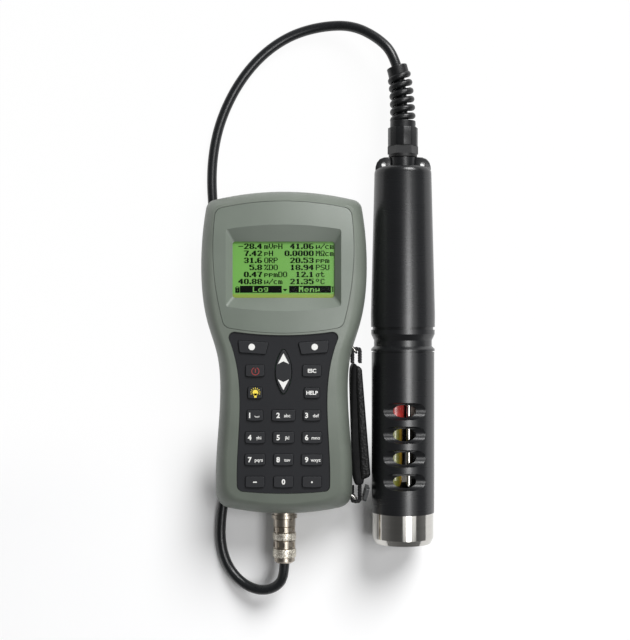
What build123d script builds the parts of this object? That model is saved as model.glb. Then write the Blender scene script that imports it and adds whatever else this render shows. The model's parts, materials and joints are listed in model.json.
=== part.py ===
from build123d import *
import math
import os

# Multiparameter water quality meter: handset, plug-in cord and submersible probe.
# Millimetres, +Z up. The handset lies on its back with the display facing +Z and
# its head towards +Y. The origin is on the flat back of the case, midway along it.
# The probe lies beside the handset, along +Y, with its sensors towards -Y.

# Clearances shared by the pieces
RUNNING = 0.1
SLIDING = 0.3
HAIRLINE = 0.05

# Case outline, as rims of case left round the two panels of the face
BEZEL_TOP_RIM = 6.9
BEZEL_HEAD_RIM = 9.3
BEZEL_FOOT_RIM = 12.0
KEYPAD_TOP_RIM = 12.4
KEYPAD_NECK_RIM = 12.7
KEYPAD_WAIST_RIM = 14.2
KEYPAD_FOOT_RIM = 15.5
KEYPAD_END_RIM = 14.8
HEAD_END_RIM = 6.2
FOOT_END_RIM = 11.3
HEAD_BOW = 6.9
FOOT_BOW = 5.9
HEAD_CORNER_RADIUS = 7.5
FOOT_CORNER_RADIUS = 11.0

# Case section
FACE_HEIGHT = 50.0
PARTING_HEIGHT = 33.0
CROWN_REACH = 9.0
CROWN_SECTIONS = 5
CASE_WALL = 3.0
BACK_SIDE_INSET = 12.0
BACK_END_INSET = 8.0
BACK_EDGE_RADIUS = 2.5
SEAL_WIDTH = 1.2
SEAL_DEPTH = 1.0
SEAL_INSET = 0.9

# Panels let into the face, each on a ledge
LEDGE_THICKNESS = 2.0
LEDGE_WIDTH = 2.0
LEDGE_MARGIN = 1.5
BEZEL_THICKNESS = 3.0
BEZEL_TOP_BAND = 14.1
BEZEL_FOOT_BAND = 14.2
BEZEL_TOP_FLANGE = 6.9
BEZEL_HEAD_FLANGE = 8.8
BEZEL_FOOT_FLANGE = 1.2
BEZEL_TOP_BOW = 5.4
BEZEL_FOOT_BOW = 4.2
BEZEL_CORNER_RADIUS = 6.0

# Display
VIEW_WIDTH = 70.0
VIEW_HEIGHT = 38.6
VIEW_STATION = 57.0
HEAD_ABOVE_VIEW = 3.0
BEZEL_ABOVE_VIEW = 9.0
FUNNEL_DEPTH = 5.5
FUNNEL_SIDE_SLOPE = 4.4
FUNNEL_TOP_SLOPE = 8.0
FUNNEL_FOOT_SLOPE = 5.9
FUNNEL_BOW = 3.3
FUNNEL_WALL = 2.0
FUNNEL_CORNER_RADIUS = 2.0
WINDOW_THICKNESS = 1.2
WINDOW_MARGIN = 3.0
DISPLAY_MARGIN = 2.4
DISPLAY_THICKNESS = 6.0

# Keypad opening, as margins beside the outermost keys
KEYPAD_NECK_MARGIN = 1.9
KEYPAD_WAIST_MARGIN = 2.65
KEYPAD_FOOT_MARGIN = 4.45
KEYPAD_END_MARGIN = 4.15
KEYPAD_TOP_BAND = 1.9
KEYPAD_FOOT_BAND = 3.7
KEYPAD_END_BAND = 6.6
KEYPAD_TOP_BOW = -3.5
KEYPAD_END_BOW = 1.8
KEYPAD_CORNER_RADIUS = 4.0
KEYPAD_RECESS = 1.0
MAT_THICKNESS = 2.0
BOARD_THICKNESS = 1.6
BOARD_MARGIN = 1.4
BOARD_TOP_GAP = 1.7
BOARD_END_LAP = 0.7

# Keys; the tables give each key's name, width and depth
KEY_HEIGHT = 1.4
KEY_TRAVEL = 1.0
KEY_GAP = 0.2
KEY_FLANGE = 0.8
KEY_FLANGE_THICKNESS = 0.5
KEY_CORNER_RADIUS = 1.2
KEY_EDGE_RADIUS = 0.5
KEY_BOW = 0.5
KEY_COLUMN = 19.4
DOME_RADIUS = 2.5
DOME_HEIGHT = 0.3
SOFT_KEY_COLUMN = 20.8
SOFT_KEY_RISE = 15.8
SOFT_KEY_TOP_WIDTH = 21.2
SOFT_KEY_FOOT_WIDTH = 18.0
SOFT_KEY_DEPTH = 8.4
SOFT_KEY_TILT = 4.0
COMMAND_ROW_TOP = -12.0
COMMAND_ROW_PITCH = 15.0
DIGIT_ROW_DROP = 15.4
DIGIT_ROW_PITCH = 15.1
COMMAND_KEYS = [
    ("power", 13.0, 7.6, -1, 0),
    ("escape", 13.0, 7.6, 1, 0),
    ("lamp", 10.0, 7.5, -1, 1),
    ("help", 10.6, 7.0, 1, 1),
]
DIGIT_KEYS = [
    [("1", 11.0, 7.0), ("2", 16.0, 7.5), ("3", 12.0, 7.0)],
    [("4", 13.5, 7.6), ("5", 14.5, 7.5), ("6", 13.5, 7.4)],
    [("7", 14.0, 7.4), ("8", 13.5, 7.5), ("9", 14.5, 7.2)],
    [("minus", 13.2, 7.3), ("0", 13.5, 7.4), ("point", 13.2, 7.3)],
]
ARROW_DROP = 0.7
ARROW_LENGTH = 30.5
ARROW_WIDTH = 11.0
ARROW_TIP_RADIUS = 1.5
ARROW_GAP = 0.5
ARROW_DOME_OFFSET = 8.7
TRUNNION_RADIUS = 0.7
TRUNNION_OVERHANG = 1.6

# Batteries, four cells in two columns
CELL_DIAMETER = 26.2
CELL_LENGTH = 50.0
CELL_NUB_RADIUS = 3.0
CELL_NUB_LENGTH = 1.5
CELL_GAP = 0.4
CONTACT_LENGTH = 3.5
CONTACT_PLATE = 0.6
CONTACT_MARGIN = 2.0
SPRING_BASE_RADIUS = 5.0
SPRING_TIP_RADIUS = 3.0
BAY_STATION = -21.5
BAY_WALL = 2.0
COVER_THICKNESS = 2.5
COVER_SIDE_LAP = 2.3
COVER_END_LAP = 10.0
COVER_CORNER_RADIUS = 5.0
COVER_SEAL_THICKNESS = 1.0
COVER_SEAL_WIDTH = 1.8
COVER_PAD = 3.0

# Screws
SCREW_RADIUS = 1.45
SCREW_HEAD_RADIUS = 2.75
SCREW_HEAD_HEIGHT = 2.0
SCREW_HOLE_GAP = 0.25
BOSS_RADIUS = 3.4
COVER_SCREW_COLUMN = 22.0
COVER_SCREW_LENGTH = 9.0
COVER_SCREW_EDGE = 4.5
CASE_SCREW_SEAT = 13.8
CASE_SCREW_TIP = 42.0
CASE_SCREW_HEAD_INSET = (15.2, 12.6)
CASE_SCREW_MIDDLE_INSET = (16.1, 3.0)
CASE_SCREW_FOOT_INSET = (24.4, 7.2)

# Socket in the foot of the case, axis along Y
SOCKET_HEIGHT = 22.0
SOCKET_BOSS_RADIUS = 10.9
SOCKET_BOSS_LENGTH = 9.0
SOCKET_NECK_RADIUS = 7.8
SOCKET_NECK_LENGTH = 2.6
SOCKET_FLANGE_RADIUS = 8.9
SOCKET_FLANGE_LENGTH = 2.3
SOCKET_BARREL_RADIUS = 6.2
SOCKET_BARREL_WALL = 1.2
SOCKET_BARREL_LENGTH = 6.6
SOCKET_TAIL_RADIUS = 7.4
SOCKET_TAIL_OVERHANG = 1.0
SOCKET_NUT_WIDTH = 19.0
SOCKET_NUT_THICKNESS = 3.0
PIN_COUNT = 6
PIN_RADIUS = 0.5
PIN_CIRCLE_RADIUS = 2.7
PIN_LENGTH = 4.5

# Plug on the cord
RING_RADIUS = 8.25
RING_LENGTH = 15.4
RING_GRIP_LENGTH = 5.6
RING_WAIST_RADIUS = 7.85
RING_WAIST_LENGTH = 4.0
RING_GRIP_SIDES = 24
RING_NOTCHES = 6
RING_NOTCH_WIDTH = 2.2
RING_NOTCH_DEPTH = 1.0
PLUG_COLLAR_RADIUS = 7.75
PLUG_COLLAR_LENGTH = 5.6
PLUG_SLEEVE_RADIUS = 6.0
BACK_NUT_RADIUS = 8.2
BACK_NUT_GRIP = 6.4
BACK_NUT_LENGTH = 10.2
BACK_NUT_END_RADIUS = 5.6

# Hand strap on the right flank, standing on its edge
STRAP_TOP_DROP = 7.5
STRAP_LENGTH = 80.5
STRAP_TONGUE_LENGTH = 5.5
STRAP_SIDE_GAP = 0.6
STRAP_TOP_THICKNESS = 8.4
STRAP_END_THICKNESS = 12.0
STRAP_TONGUE_THICKNESS = 6.5
STRAP_LOW = 10.0
STRAP_HIGH = 37.0
STRAP_EDGE_RADIUS = 2.5
STRAP_CORD_RADIUS = 1.5
STRAP_CORD_HEIGHT = 26.0
ANCHOR_WIRE_RADIUS = 0.8
ANCHOR_SPAN = 10.0
ANCHOR_BEND_RADIUS = 2.0
ANCHOR_BAR_REACH = (3.5, 2.8)
ANCHOR_ROOT_DEPTH = (2.2, 4.5)
UPPER_ANCHOR_RISE = (7.1, 15.7)
LOWER_ANCHOR_DROP = (8.5, 2.9)
SLIDER_LENGTH = 9.4
SLIDER_THICKNESS = 2.4
SLIDER_HEIGHT = 22.0
SLIDER_BAR = 2.2
SLIDER_CORNER_RADIUS = 1.5
SLIDER_OFFSET = (9.6, -5.1)
SLIDER_ANGLE = 74.0

# Probe, axis along Y; stations are measured from the top edge of the guard
PROBE_COLUMN = 83.3
PROBE_HEIGHT = 22.5
GUARD_RADIUS = 22.0
GUARD_WALL = 3.7
GUARD_LENGTH = 112.2
SLOT_RADIUS = 6.0
SLOT_CENTRE_HEIGHT = 22.5
SLOT_FIRST_STATION = -40.4
SLOT_PITCH = 16.2
SLOT_COUNT = 4
WINDOW_ANGLES = (210.0, 330.0)
WINDOW_STATIONS = (-50.3, -83.7)
WINDOW_LENGTH = 27.0
WINDOW_SLOT_WIDTH = 12.0
WEIGHT_RADIUS = 21.5
WEIGHT_LENGTH = 21.4
WEIGHT_BORE_RADIUS = 17.0
WEIGHT_CHAMFER_LENGTH = 3.8
WEIGHT_CHAMFER_DEPTH = 1.9
WEIGHT_SPIGOT_LENGTH = 6.0
BLOCK_SPIGOT_LENGTH = 14.0
BLOCK_PLUG_LENGTH = 22.0
BLOCK_FLANGE_RADIUS = 21.0
SEAL_RING_RADIUS = 0.9
BODY_FOOT_RADIUS = 22.3
BODY_NECK_RADIUS = 20.3
BODY_WIDE_RADIUS = 22.5
BODY_TOP_RADIUS = 20.0
BODY_BORE_RADIUS = 18.3
BODY_FOOT_EDGE = 0.8
BODY_NECK_LOW = 3.2
BODY_NECK_HIGH = 8.3
BODY_RING_LOW = 12.7
BODY_RING_HIGH = 15.7
BODY_GROOVE_HIGH = 17.6
BODY_GROOVE_RADIUS = 21.3
BODY_WIDE_STATION = 26.0
BODY_TOP_STATION = 125.2
HEAD_SHOULDER_RADIUS = 17.0
HEAD_SHOULDER_HEIGHT = 4.2
HEAD_NECK_RADIUS = 9.4
HEAD_TOP_STATION = 136.8
HEAD_SPIGOT_LENGTH = 8.0
EYELET_OFFSET = 13.6
EYELET_RADIUS = 1.6
EAR_RADIUS = 4.2
EAR_THICKNESS = 7.0
EAR_WEB_REACH = 2.5
GASKET_THICKNESS = 2.1
GASKET_RADIUS = 10.0
GLAND_HEX_WIDTH = 18.6
GLAND_HEX_LENGTH = 5.6
GLAND_SLEEVE_RADIUS = 7.5
GLAND_SLEEVE_LENGTH = 14.0
NUT_GRIP_WIDTH = 20.4
NUT_GRIP_SIDES = 12
NUT_GRIP_LENGTH = 13.0
NUT_DOME_RADIUS = 9.0
NUT_DOME_LENGTH = 4.8
NUT_WEB = 2.0

# Spiral bend relief moulded on the gland nut
SPIRAL_PITCH = 5.7
SPIRAL_TURNS = 6.3
SPIRAL_STEPS = 16
SPIRAL_RIB_WIDTH = 3.4
SPIRAL_RIB_DEPTH = 3.4
SPIRAL_GAP = 0.7
SPIRAL_TAPER = 0.02
SPIRAL_COLLAR_LENGTH = 7.1
SPIRAL_COLLAR_WALL = 2.65

# Sensors under the block, placed round the probe axis
SENSOR_CIRCLE_RADIUS = 9.3
SENSOR_RADIUS = 7.5
SENSOR_TIP_RADIUS = 6.0
PH_ANGLE = 137.0
PH_COLLAR_END = -48.0
PH_TIP = -95.0
PH_BULB_RADIUS = 4.5
PH_BULB_LENGTH = 1.8
OXYGEN_ANGLE = 17.0
OXYGEN_CONE_END = -44.0
OXYGEN_TIP = -80.0
CONDUCTIVITY_ANGLE = 257.0
CONDUCTIVITY_CAP = -66.0
CONDUCTIVITY_TIP = -92.0
CONDUCTIVITY_CHAMFER = 1.5
SENSOR_BORE_RADIUS = 3.0
SENSOR_BORE_DEPTH = 8.0
SENSOR_SOCKET_DEPTH = 6.0
SENSOR_STEM_RADIUS = 5.0
ROD_ANGLE = 77.0
ROD_CIRCLE_RADIUS = 13.8
ROD_RADIUS = 1.5
ROD_TIP = -93.0

# Cord from plug to probe, laid on the bench and under the left side of the case
CORD_DIAMETER = 7.0
CORD_FIT = 0.1
CORD_ENTRY = 2.4
CORD_ROUTE = [
    (0.0, -157.0, 22.0),
    (-5.0, -165.8, 18.6),
    (-16.2, -170.2, 13.4),
    (-29.0, -166.8, 8.4),
    (-40.0, -156.4, 4.6),
    (-45.8, -141.0, 3.5),
    (-46.4, -123.5, 3.5),
    (-42.8, -99.0, 3.5),
    (-41.2, -66.0, 3.5),
    (-40.3, -30.0, 3.5),
    (-42.8, 0.0, 3.5),
    (-50.3, 29.0, 3.5),
    (-52.6, 60.0, 3.5),
    (-51.2, 96.0, 3.5),
    (-53.2, 127.0, 3.5),
    (-49.8, 154.5, 3.5),
    (-41.5, 178.0, 3.5),
    (-29.2, 198.8, 3.5),
    (-13.4, 215.8, 3.5),
    (5.4, 227.6, 3.8),
    (27.0, 233.2, 5.4),
    (48.5, 232.6, 10.4),
    (66.4, 221.8, 17.8),
    (77.0, 209.2, 22.5),
    (83.3, 183.2, 22.5),
]
ARC_SHARE = 0.45


def bowed_face(side, top_bow, foot_bow, top_corner, foot_corner, height):
    """Level face with mirrored spline sides and two bowed ends."""
    head_x, head_y = side[0]
    foot_x, foot_y = side[-1]
    outline = [
        Spline(*side),
        ThreePointArc((foot_x, foot_y), (0, foot_y - foot_bow), (-foot_x, foot_y)),
        Spline(*[(-x, y) for x, y in reversed(side)]),
        ThreePointArc((-head_x, head_y), (0, head_y + top_bow), (head_x, head_y)),
    ]
    face = make_face(outline)
    face = fillet(face.vertices().sort_by(Axis.Y)[-2:], top_corner)
    face = fillet(face.vertices().sort_by(Axis.Y)[:2], foot_corner)
    return Pos(0, 0, height) * face


def inset_side(side, side_inset, end_inset):
    """Side points moved in by side_inset, with both ends drawn in by end_inset."""
    middle = (side[0][1] + side[-1][1]) / 2
    half = (side[0][1] - side[-1][1]) / 2
    shrink = (half - end_inset) / half
    return [(x - side_inset, middle + (y - middle) * shrink) for x, y in side]


def turned(profile, column=0.0, height=0.0):
    """Solid turned about an axis along Y, from (radius, station) points."""
    face = make_face(Polyline(*profile, close=True))
    return Pos(column, 0, height) * revolve(face, Axis.Y)


def bar_along_y(face, start, end, column=0.0, height=0.0):
    """Face drawn about its own centre, extruded along Y from start to end."""
    plane = Plane(origin=(column, start, height), x_dir=(1, 0, 0), z_dir=(0, 1, 0))
    return extrude(plane * face, end - start)


def block(x_low, x_high, y_low, y_high, z_low, z_high):
    """Rectangular block between six limits."""
    size = (x_high - x_low, y_high - y_low, z_high - z_low)
    centre = ((x_low + x_high) / 2, (y_low + y_high) / 2, (z_low + z_high) / 2)
    return Pos(*centre) * Box(*size)


def post(radius, x, y, z_low, z_high):
    """Upright round post."""
    return Pos(x, y, z_low) * extrude(Circle(radius), z_high - z_low)


def on_probe(solid):
    """Move a solid drawn about the Y axis onto the probe's axis."""
    return Pos(PROBE_COLUMN, 0, PROBE_HEIGHT) * solid


def both_sides(places):
    """Each (x, y) place with its mirror image across the middle of the case."""
    return [(sign * x, y) for x, y in places for sign in (1, -1)]


# Stations of the face, worked out from the display and the rows of keys
BEZEL_TOP_STATION = VIEW_STATION + VIEW_HEIGHT / 2 + FUNNEL_TOP_SLOPE + BEZEL_TOP_BAND
BEZEL_WIDE_STATION = VIEW_STATION + BEZEL_ABOVE_VIEW
BEZEL_FOOT_STATION = VIEW_STATION - VIEW_HEIGHT / 2 - FUNNEL_FOOT_SLOPE - BEZEL_FOOT_BAND
SOFT_KEY_STATION = COMMAND_ROW_TOP + SOFT_KEY_RISE
ARROW_STATION = COMMAND_ROW_TOP - ARROW_DROP
DIGIT_ROW_TOP = COMMAND_ROW_TOP - COMMAND_ROW_PITCH - DIGIT_ROW_DROP
DIGIT_ROW_END = DIGIT_ROW_TOP - (len(DIGIT_KEYS) - 1) * DIGIT_ROW_PITCH
KEYPAD_TOP_STATION = BEZEL_FOOT_STATION - KEYPAD_TOP_BAND
KEYPAD_END_STATION = DIGIT_ROW_END - KEYPAD_END_BAND
HEAD_STATION = VIEW_STATION + HEAD_ABOVE_VIEW
SHOULDER_STATION = BEZEL_FOOT_STATION + LEDGE_MARGIN
NECK_STATION = COMMAND_ROW_TOP + (SOFT_KEY_RISE + SOFT_KEY_DEPTH) / 2
WAIST_STATION = COMMAND_ROW_TOP - COMMAND_ROW_PITCH
FOOT_STATION = DIGIT_ROW_END + KEYPAD_FOOT_BAND
HEAD_CORNER_STATION = BEZEL_TOP_STATION + HEAD_END_RIM
FOOT_CORNER_STATION = KEYPAD_END_STATION - FOOT_END_RIM
HEAD_END_STATION = HEAD_CORNER_STATION + HEAD_BOW
FOOT_END_STATION = FOOT_CORNER_STATION - FOOT_BOW

# Widths of the face and the case at those stations
OUTER_KEYS = [cell for row in DIGIT_KEYS for cell in (row[0], row[-1])]
KEY_REACH = KEY_COLUMN + max(width for _, width, _ in OUTER_KEYS) / 2 + KEY_FLANGE
SOFT_KEY_REACH = SOFT_KEY_COLUMN + SOFT_KEY_TOP_WIDTH / 2 + KEY_FLANGE
MOUTH_REACH = VIEW_WIDTH / 2 + FUNNEL_SIDE_SLOPE
HEAD_END_WIDTH = 2 * (MOUTH_REACH + BEZEL_TOP_FLANGE + BEZEL_TOP_RIM)
HEAD_WIDTH = 2 * (MOUTH_REACH + BEZEL_HEAD_FLANGE + BEZEL_HEAD_RIM)
SHOULDER_WIDTH = 2 * (MOUTH_REACH + BEZEL_FOOT_FLANGE + BEZEL_FOOT_RIM)
NECK_WIDTH = 2 * (SOFT_KEY_REACH + KEYPAD_NECK_MARGIN + KEYPAD_NECK_RIM)
WAIST_WIDTH = 2 * (KEY_REACH + KEYPAD_WAIST_MARGIN + KEYPAD_WAIST_RIM)
FOOT_WIDTH = 2 * (KEY_REACH + KEYPAD_FOOT_MARGIN + KEYPAD_FOOT_RIM)
FOOT_END_WIDTH = 2 * (KEY_REACH + KEYPAD_END_MARGIN + KEYPAD_END_RIM)

# Case outlines
CASE_SIDE = [
    (HEAD_END_WIDTH / 2, HEAD_CORNER_STATION),
    (HEAD_WIDTH / 2, HEAD_STATION),
    (SHOULDER_WIDTH / 2, SHOULDER_STATION),
    (NECK_WIDTH / 2, NECK_STATION),
    (WAIST_WIDTH / 2, WAIST_STATION),
    (FOOT_WIDTH / 2, FOOT_STATION),
    (FOOT_END_WIDTH / 2, FOOT_CORNER_STATION),
]
BEZEL_SIDE = [
    (HEAD_END_WIDTH / 2 - BEZEL_TOP_RIM, BEZEL_TOP_STATION),
    (HEAD_WIDTH / 2 - BEZEL_HEAD_RIM, BEZEL_WIDE_STATION),
    (SHOULDER_WIDTH / 2 - BEZEL_FOOT_RIM, BEZEL_FOOT_STATION),
]
KEYPAD_SIDE = [
    (SHOULDER_WIDTH / 2 - KEYPAD_TOP_RIM, KEYPAD_TOP_STATION),
    (NECK_WIDTH / 2 - KEYPAD_NECK_RIM, NECK_STATION),
    (WAIST_WIDTH / 2 - KEYPAD_WAIST_RIM, WAIST_STATION),
    (FOOT_WIDTH / 2 - KEYPAD_FOOT_RIM, FOOT_STATION),
    (FOOT_END_WIDTH / 2 - KEYPAD_END_RIM, KEYPAD_END_STATION),
]

# Places that follow the case: screws, strap and its anchors
CASE_SCREWS = [
    (HEAD_END_WIDTH / 2 - CASE_SCREW_HEAD_INSET[0], HEAD_CORNER_STATION - CASE_SCREW_HEAD_INSET[1]),
    (SHOULDER_WIDTH / 2 - CASE_SCREW_MIDDLE_INSET[0], SHOULDER_STATION + CASE_SCREW_MIDDLE_INSET[1]),
    (FOOT_END_WIDTH / 2 - CASE_SCREW_FOOT_INSET[0], FOOT_CORNER_STATION + CASE_SCREW_FOOT_INSET[1]),
]
STRAP_TOP_STATION = NECK_STATION - STRAP_TOP_DROP
STRAP_END_STATION = STRAP_TOP_STATION - STRAP_LENGTH
STRAP_TONGUE_STATION = STRAP_END_STATION - STRAP_TONGUE_LENGTH
UPPER_ANCHOR_BAR = (NECK_WIDTH / 2 + ANCHOR_BAR_REACH[0], STRAP_TOP_STATION + UPPER_ANCHOR_RISE[0])
UPPER_ANCHOR_ROOT = (NECK_WIDTH / 2 - ANCHOR_ROOT_DEPTH[0], STRAP_TOP_STATION + UPPER_ANCHOR_RISE[1])
LOWER_ANCHOR_BAR = (FOOT_WIDTH / 2 + ANCHOR_BAR_REACH[1], STRAP_TONGUE_STATION - LOWER_ANCHOR_DROP[0])
LOWER_ANCHOR_ROOT = (FOOT_WIDTH / 2 - ANCHOR_ROOT_DEPTH[1], STRAP_TONGUE_STATION - LOWER_ANCHOR_DROP[1])
SLIDER_CENTRE = (FOOT_WIDTH / 2 + SLIDER_OFFSET[0], STRAP_TONGUE_STATION + SLIDER_OFFSET[1])

# Heights of the stack under the face
MAT_TOP = FACE_HEIGHT - KEYPAD_RECESS
MAT_BOTTOM = MAT_TOP - MAT_THICKNESS
LEDGE_TOP = FACE_HEIGHT - BEZEL_THICKNESS
LEDGE_BOTTOM = LEDGE_TOP - LEDGE_THICKNESS
BOARD_TOP = LEDGE_BOTTOM
FUNNEL_BOTTOM = FACE_HEIGHT - FUNNEL_DEPTH
WINDOW_BOTTOM = FUNNEL_BOTTOM - WINDOW_THICKNESS
KEY_TOP = MAT_TOP + KEY_HEIGHT
KEY_BOTTOM = BOARD_TOP + DOME_HEIGHT + KEY_TRAVEL + RUNNING
DISPLAY_TOP = WINDOW_BOTTOM - RUNNING
ARROW_AXIS_HEIGHT = MAT_BOTTOM - SLIDING + RUNNING - TRUNNION_RADIUS

# Stations of the plug and socket
SOCKET_SEAT = FOOT_END_STATION - RUNNING
SOCKET_FACE = SOCKET_SEAT - SOCKET_NECK_LENGTH - SOCKET_FLANGE_LENGTH
BARREL_END = SOCKET_FACE - SOCKET_BARREL_LENGTH
RING_START = SOCKET_FACE - RUNNING
RING_END = RING_START - RING_LENGTH
COLLAR_END = RING_END - RUNNING - PLUG_COLLAR_LENGTH
PLUG_END = COLLAR_END - BACK_NUT_LENGTH

# Stations of the eyelets, the gland and the guard's seal
EYELET_STATION = BODY_TOP_STATION + HEAD_SHOULDER_HEIGHT + EYELET_RADIUS + SLIDING
GLAND_SEAT = HEAD_TOP_STATION + GASKET_THICKNESS
NUT_START = GLAND_SEAT + GLAND_HEX_LENGTH
NUT_DOME_START = NUT_START + NUT_GRIP_LENGTH
NUT_END = NUT_DOME_START + NUT_DOME_LENGTH
SLEEVE_END = NUT_START + GLAND_SLEEVE_LENGTH
CORD_RADIUS = CORD_DIAMETER / 2
SEAL_STATION = BLOCK_SPIGOT_LENGTH / 2


def case_section(step, wall):
    """Level section of the crowned front shell, wall inside its outer skin."""
    angle = math.pi / 2 * step / (CROWN_SECTIONS - 1)
    inset = wall + CROWN_REACH * (1 - math.cos(angle))
    height = PARTING_HEIGHT + (FACE_HEIGHT - wall - PARTING_HEIGHT) * math.sin(angle)
    side = inset_side(CASE_SIDE, inset, inset)
    return bowed_face(side, HEAD_BOW, FOOT_BOW, HEAD_CORNER_RADIUS, FOOT_CORNER_RADIUS, height)


def crowned_solid(wall):
    """Front half of the case, or its hollow when a wall is given."""
    return loft([case_section(step, wall) for step in range(CROWN_SECTIONS)])


def back_section(side_inset, end_inset, height):
    """Level section of the tapered back shell."""
    side = inset_side(CASE_SIDE, side_inset, end_inset)
    return bowed_face(side, HEAD_BOW, FOOT_BOW, HEAD_CORNER_RADIUS, FOOT_CORNER_RADIUS, height)


def panel_face(side, top_bow, foot_bow, corner, inset, height):
    """Face of a panel let into the case, drawn in evenly by inset."""
    moved = inset_side(side, inset, inset)
    return bowed_face(moved, top_bow, foot_bow, corner, corner, height)


def bezel_face(inset, height):
    """Outline of the display bezel."""
    bows = (BEZEL_TOP_BOW, BEZEL_FOOT_BOW)
    return panel_face(BEZEL_SIDE, *bows, BEZEL_CORNER_RADIUS, inset, height)


def keypad_face(inset, height):
    """Outline of the keypad opening."""
    bows = (KEYPAD_TOP_BOW, KEYPAD_END_BOW)
    return panel_face(KEYPAD_SIDE, *bows, KEYPAD_CORNER_RADIUS, inset, height)


def funnel_face(share, grow):
    """Section of the funnel round the display, from its foot (0) to its mouth (1)."""
    half = VIEW_WIDTH / 2 + FUNNEL_SIDE_SLOPE * share + grow
    top = VIEW_STATION + VIEW_HEIGHT / 2 + FUNNEL_TOP_SLOPE * share + grow
    foot = VIEW_STATION - VIEW_HEIGHT / 2 - FUNNEL_FOOT_SLOPE * share - grow
    bow = FUNNEL_BOW * share
    height = FUNNEL_BOTTOM + FUNNEL_DEPTH * share
    level = Plane.XY.offset(height)
    if bow == 0:
        middle = (top + foot) / 2
        rectangle = Pos(0, middle) * RectangleRounded(2 * half, top - foot, FUNNEL_CORNER_RADIUS)
        return level * rectangle
    outline = [
        Line((half, top), (half, foot)),
        ThreePointArc((half, foot), (0, foot - bow), (-half, foot)),
        Line((-half, foot), (-half, top)),
        ThreePointArc((-half, top), (0, top + bow), (half, top)),
    ]
    face = make_face(outline)
    return level * fillet(face.vertices(), FUNNEL_CORNER_RADIUS)


def funnel_solid(grow):
    """Space of the funnel, or its outside when grow is the funnel's wall."""
    return loft([funnel_face(0, grow), funnel_face(1, grow)], ruled=True)


def cover_limits(lap_side, lap_end):
    """Half width and end stations of the battery bay with laps added."""
    half_width = CELL_DIAMETER + 1.5 * CELL_GAP + lap_side
    half_length = CELL_LENGTH + 0.5 * CELL_GAP + CONTACT_LENGTH + lap_end
    return half_width, BAY_STATION - half_length, BAY_STATION + half_length


def rounded_plate(lap_side, lap_end, corner, low, high):
    """Plate with rounded corners over the battery bay."""
    half, foot, head = cover_limits(lap_side, lap_end)
    face = RectangleRounded(2 * half, head - foot, corner)
    return Pos(0, (foot + head) / 2, low) * extrude(face, high - low)


def bay_block(lap, low, high):
    """Square-cornered block over the battery bay."""
    half, foot, head = cover_limits(lap, lap)
    return block(-half, half, foot, head, low, high)


def cover_screw_places():
    """Four places beyond the ends of the battery bay."""
    _, foot, head = cover_limits(COVER_SIDE_LAP, COVER_END_LAP)
    return both_sides([
        (COVER_SCREW_COLUMN, foot + COVER_SCREW_EDGE),
        (COVER_SCREW_COLUMN, head - COVER_SCREW_EDGE),
    ])


# Stack of the battery compartment, from the back upwards
COVER_LEDGE = COVER_THICKNESS + COVER_SEAL_THICKNESS
CELL_BOTTOM = COVER_LEDGE
CELL_HEIGHT = CELL_BOTTOM + CELL_DIAMETER / 2
BAY_TOP = CELL_BOTTOM + CELL_DIAMETER + CELL_GAP
PAD_TOP = COVER_LEDGE + COVER_PAD


def screw(x, y, head_low, tip):
    """Upright pan-head screw with its head at the bottom."""
    head = post(SCREW_HEAD_RADIUS, x, y, head_low, head_low + SCREW_HEAD_HEIGHT)
    return head + post(SCREW_RADIUS, x, y, head_low, tip)


def anchor(root, bar):
    """Wire staple whose upright bar stands off the flank of the case."""
    low = STRAP_CORD_HEIGHT - ANCHOR_SPAN / 2
    high = STRAP_CORD_HEIGHT + ANCHOR_SPAN / 2
    points = [(*root, low), (*bar, low), (*bar, high), (*root, high)]
    path = FilletPolyline(*points, radius=ANCHOR_BEND_RADIUS)
    section = Plane(origin=path @ 0, z_dir=path % 0) * Circle(ANCHOR_WIRE_RADIUS)
    return sweep(section, path=path)


def anchor_hole(root, bar):
    """Two holes in the flank of the case for the legs of a staple."""
    holes = Part()
    for height in (-ANCHOR_SPAN / 2, ANCHOR_SPAN / 2):
        start = Vector(*root, STRAP_CORD_HEIGHT + height)
        end = Vector(*bar, STRAP_CORD_HEIGHT + height)
        plane = Plane(origin=start, z_dir=end - start)
        holes += extrude(plane * Circle(ANCHOR_WIRE_RADIUS + HAIRLINE), (end - start).length)
    return holes


def case_front():
    """Crowned upper shell with seats for the bezel and the keypad."""
    shell = crowned_solid(0) - crowned_solid(CASE_WALL)
    for face in (bezel_face, keypad_face):
        shell += extrude(face(-LEDGE_MARGIN, LEDGE_BOTTOM), LEDGE_THICKNESS + CASE_WALL / 2)
    for x, y in both_sides(CASE_SCREWS):
        shell += post(BOSS_RADIUS, x, y, PARTING_HEIGHT, LEDGE_BOTTOM)
    shell -= extrude(bezel_face(0, LEDGE_TOP), BEZEL_THICKNESS + CASE_WALL)
    shell -= extrude(keypad_face(0, MAT_BOTTOM), MAT_THICKNESS + CASE_WALL)
    shell -= extrude(keypad_face(LEDGE_WIDTH, LEDGE_BOTTOM), LEDGE_THICKNESS)
    shell -= funnel_solid(FUNNEL_WALL + SLIDING)
    half = VIEW_WIDTH / 2 + FUNNEL_WALL + SLIDING
    rise = VIEW_HEIGHT / 2 + FUNNEL_WALL + SLIDING
    foot = VIEW_STATION - rise
    head = VIEW_STATION + rise
    shell -= block(-half, half, foot, head, PARTING_HEIGHT, LEDGE_TOP)
    for x, y in both_sides(CASE_SCREWS):
        shell -= post(SCREW_RADIUS + HAIRLINE, x, y, PARTING_HEIGHT, CASE_SCREW_TIP + RUNNING)
    return shell


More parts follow.
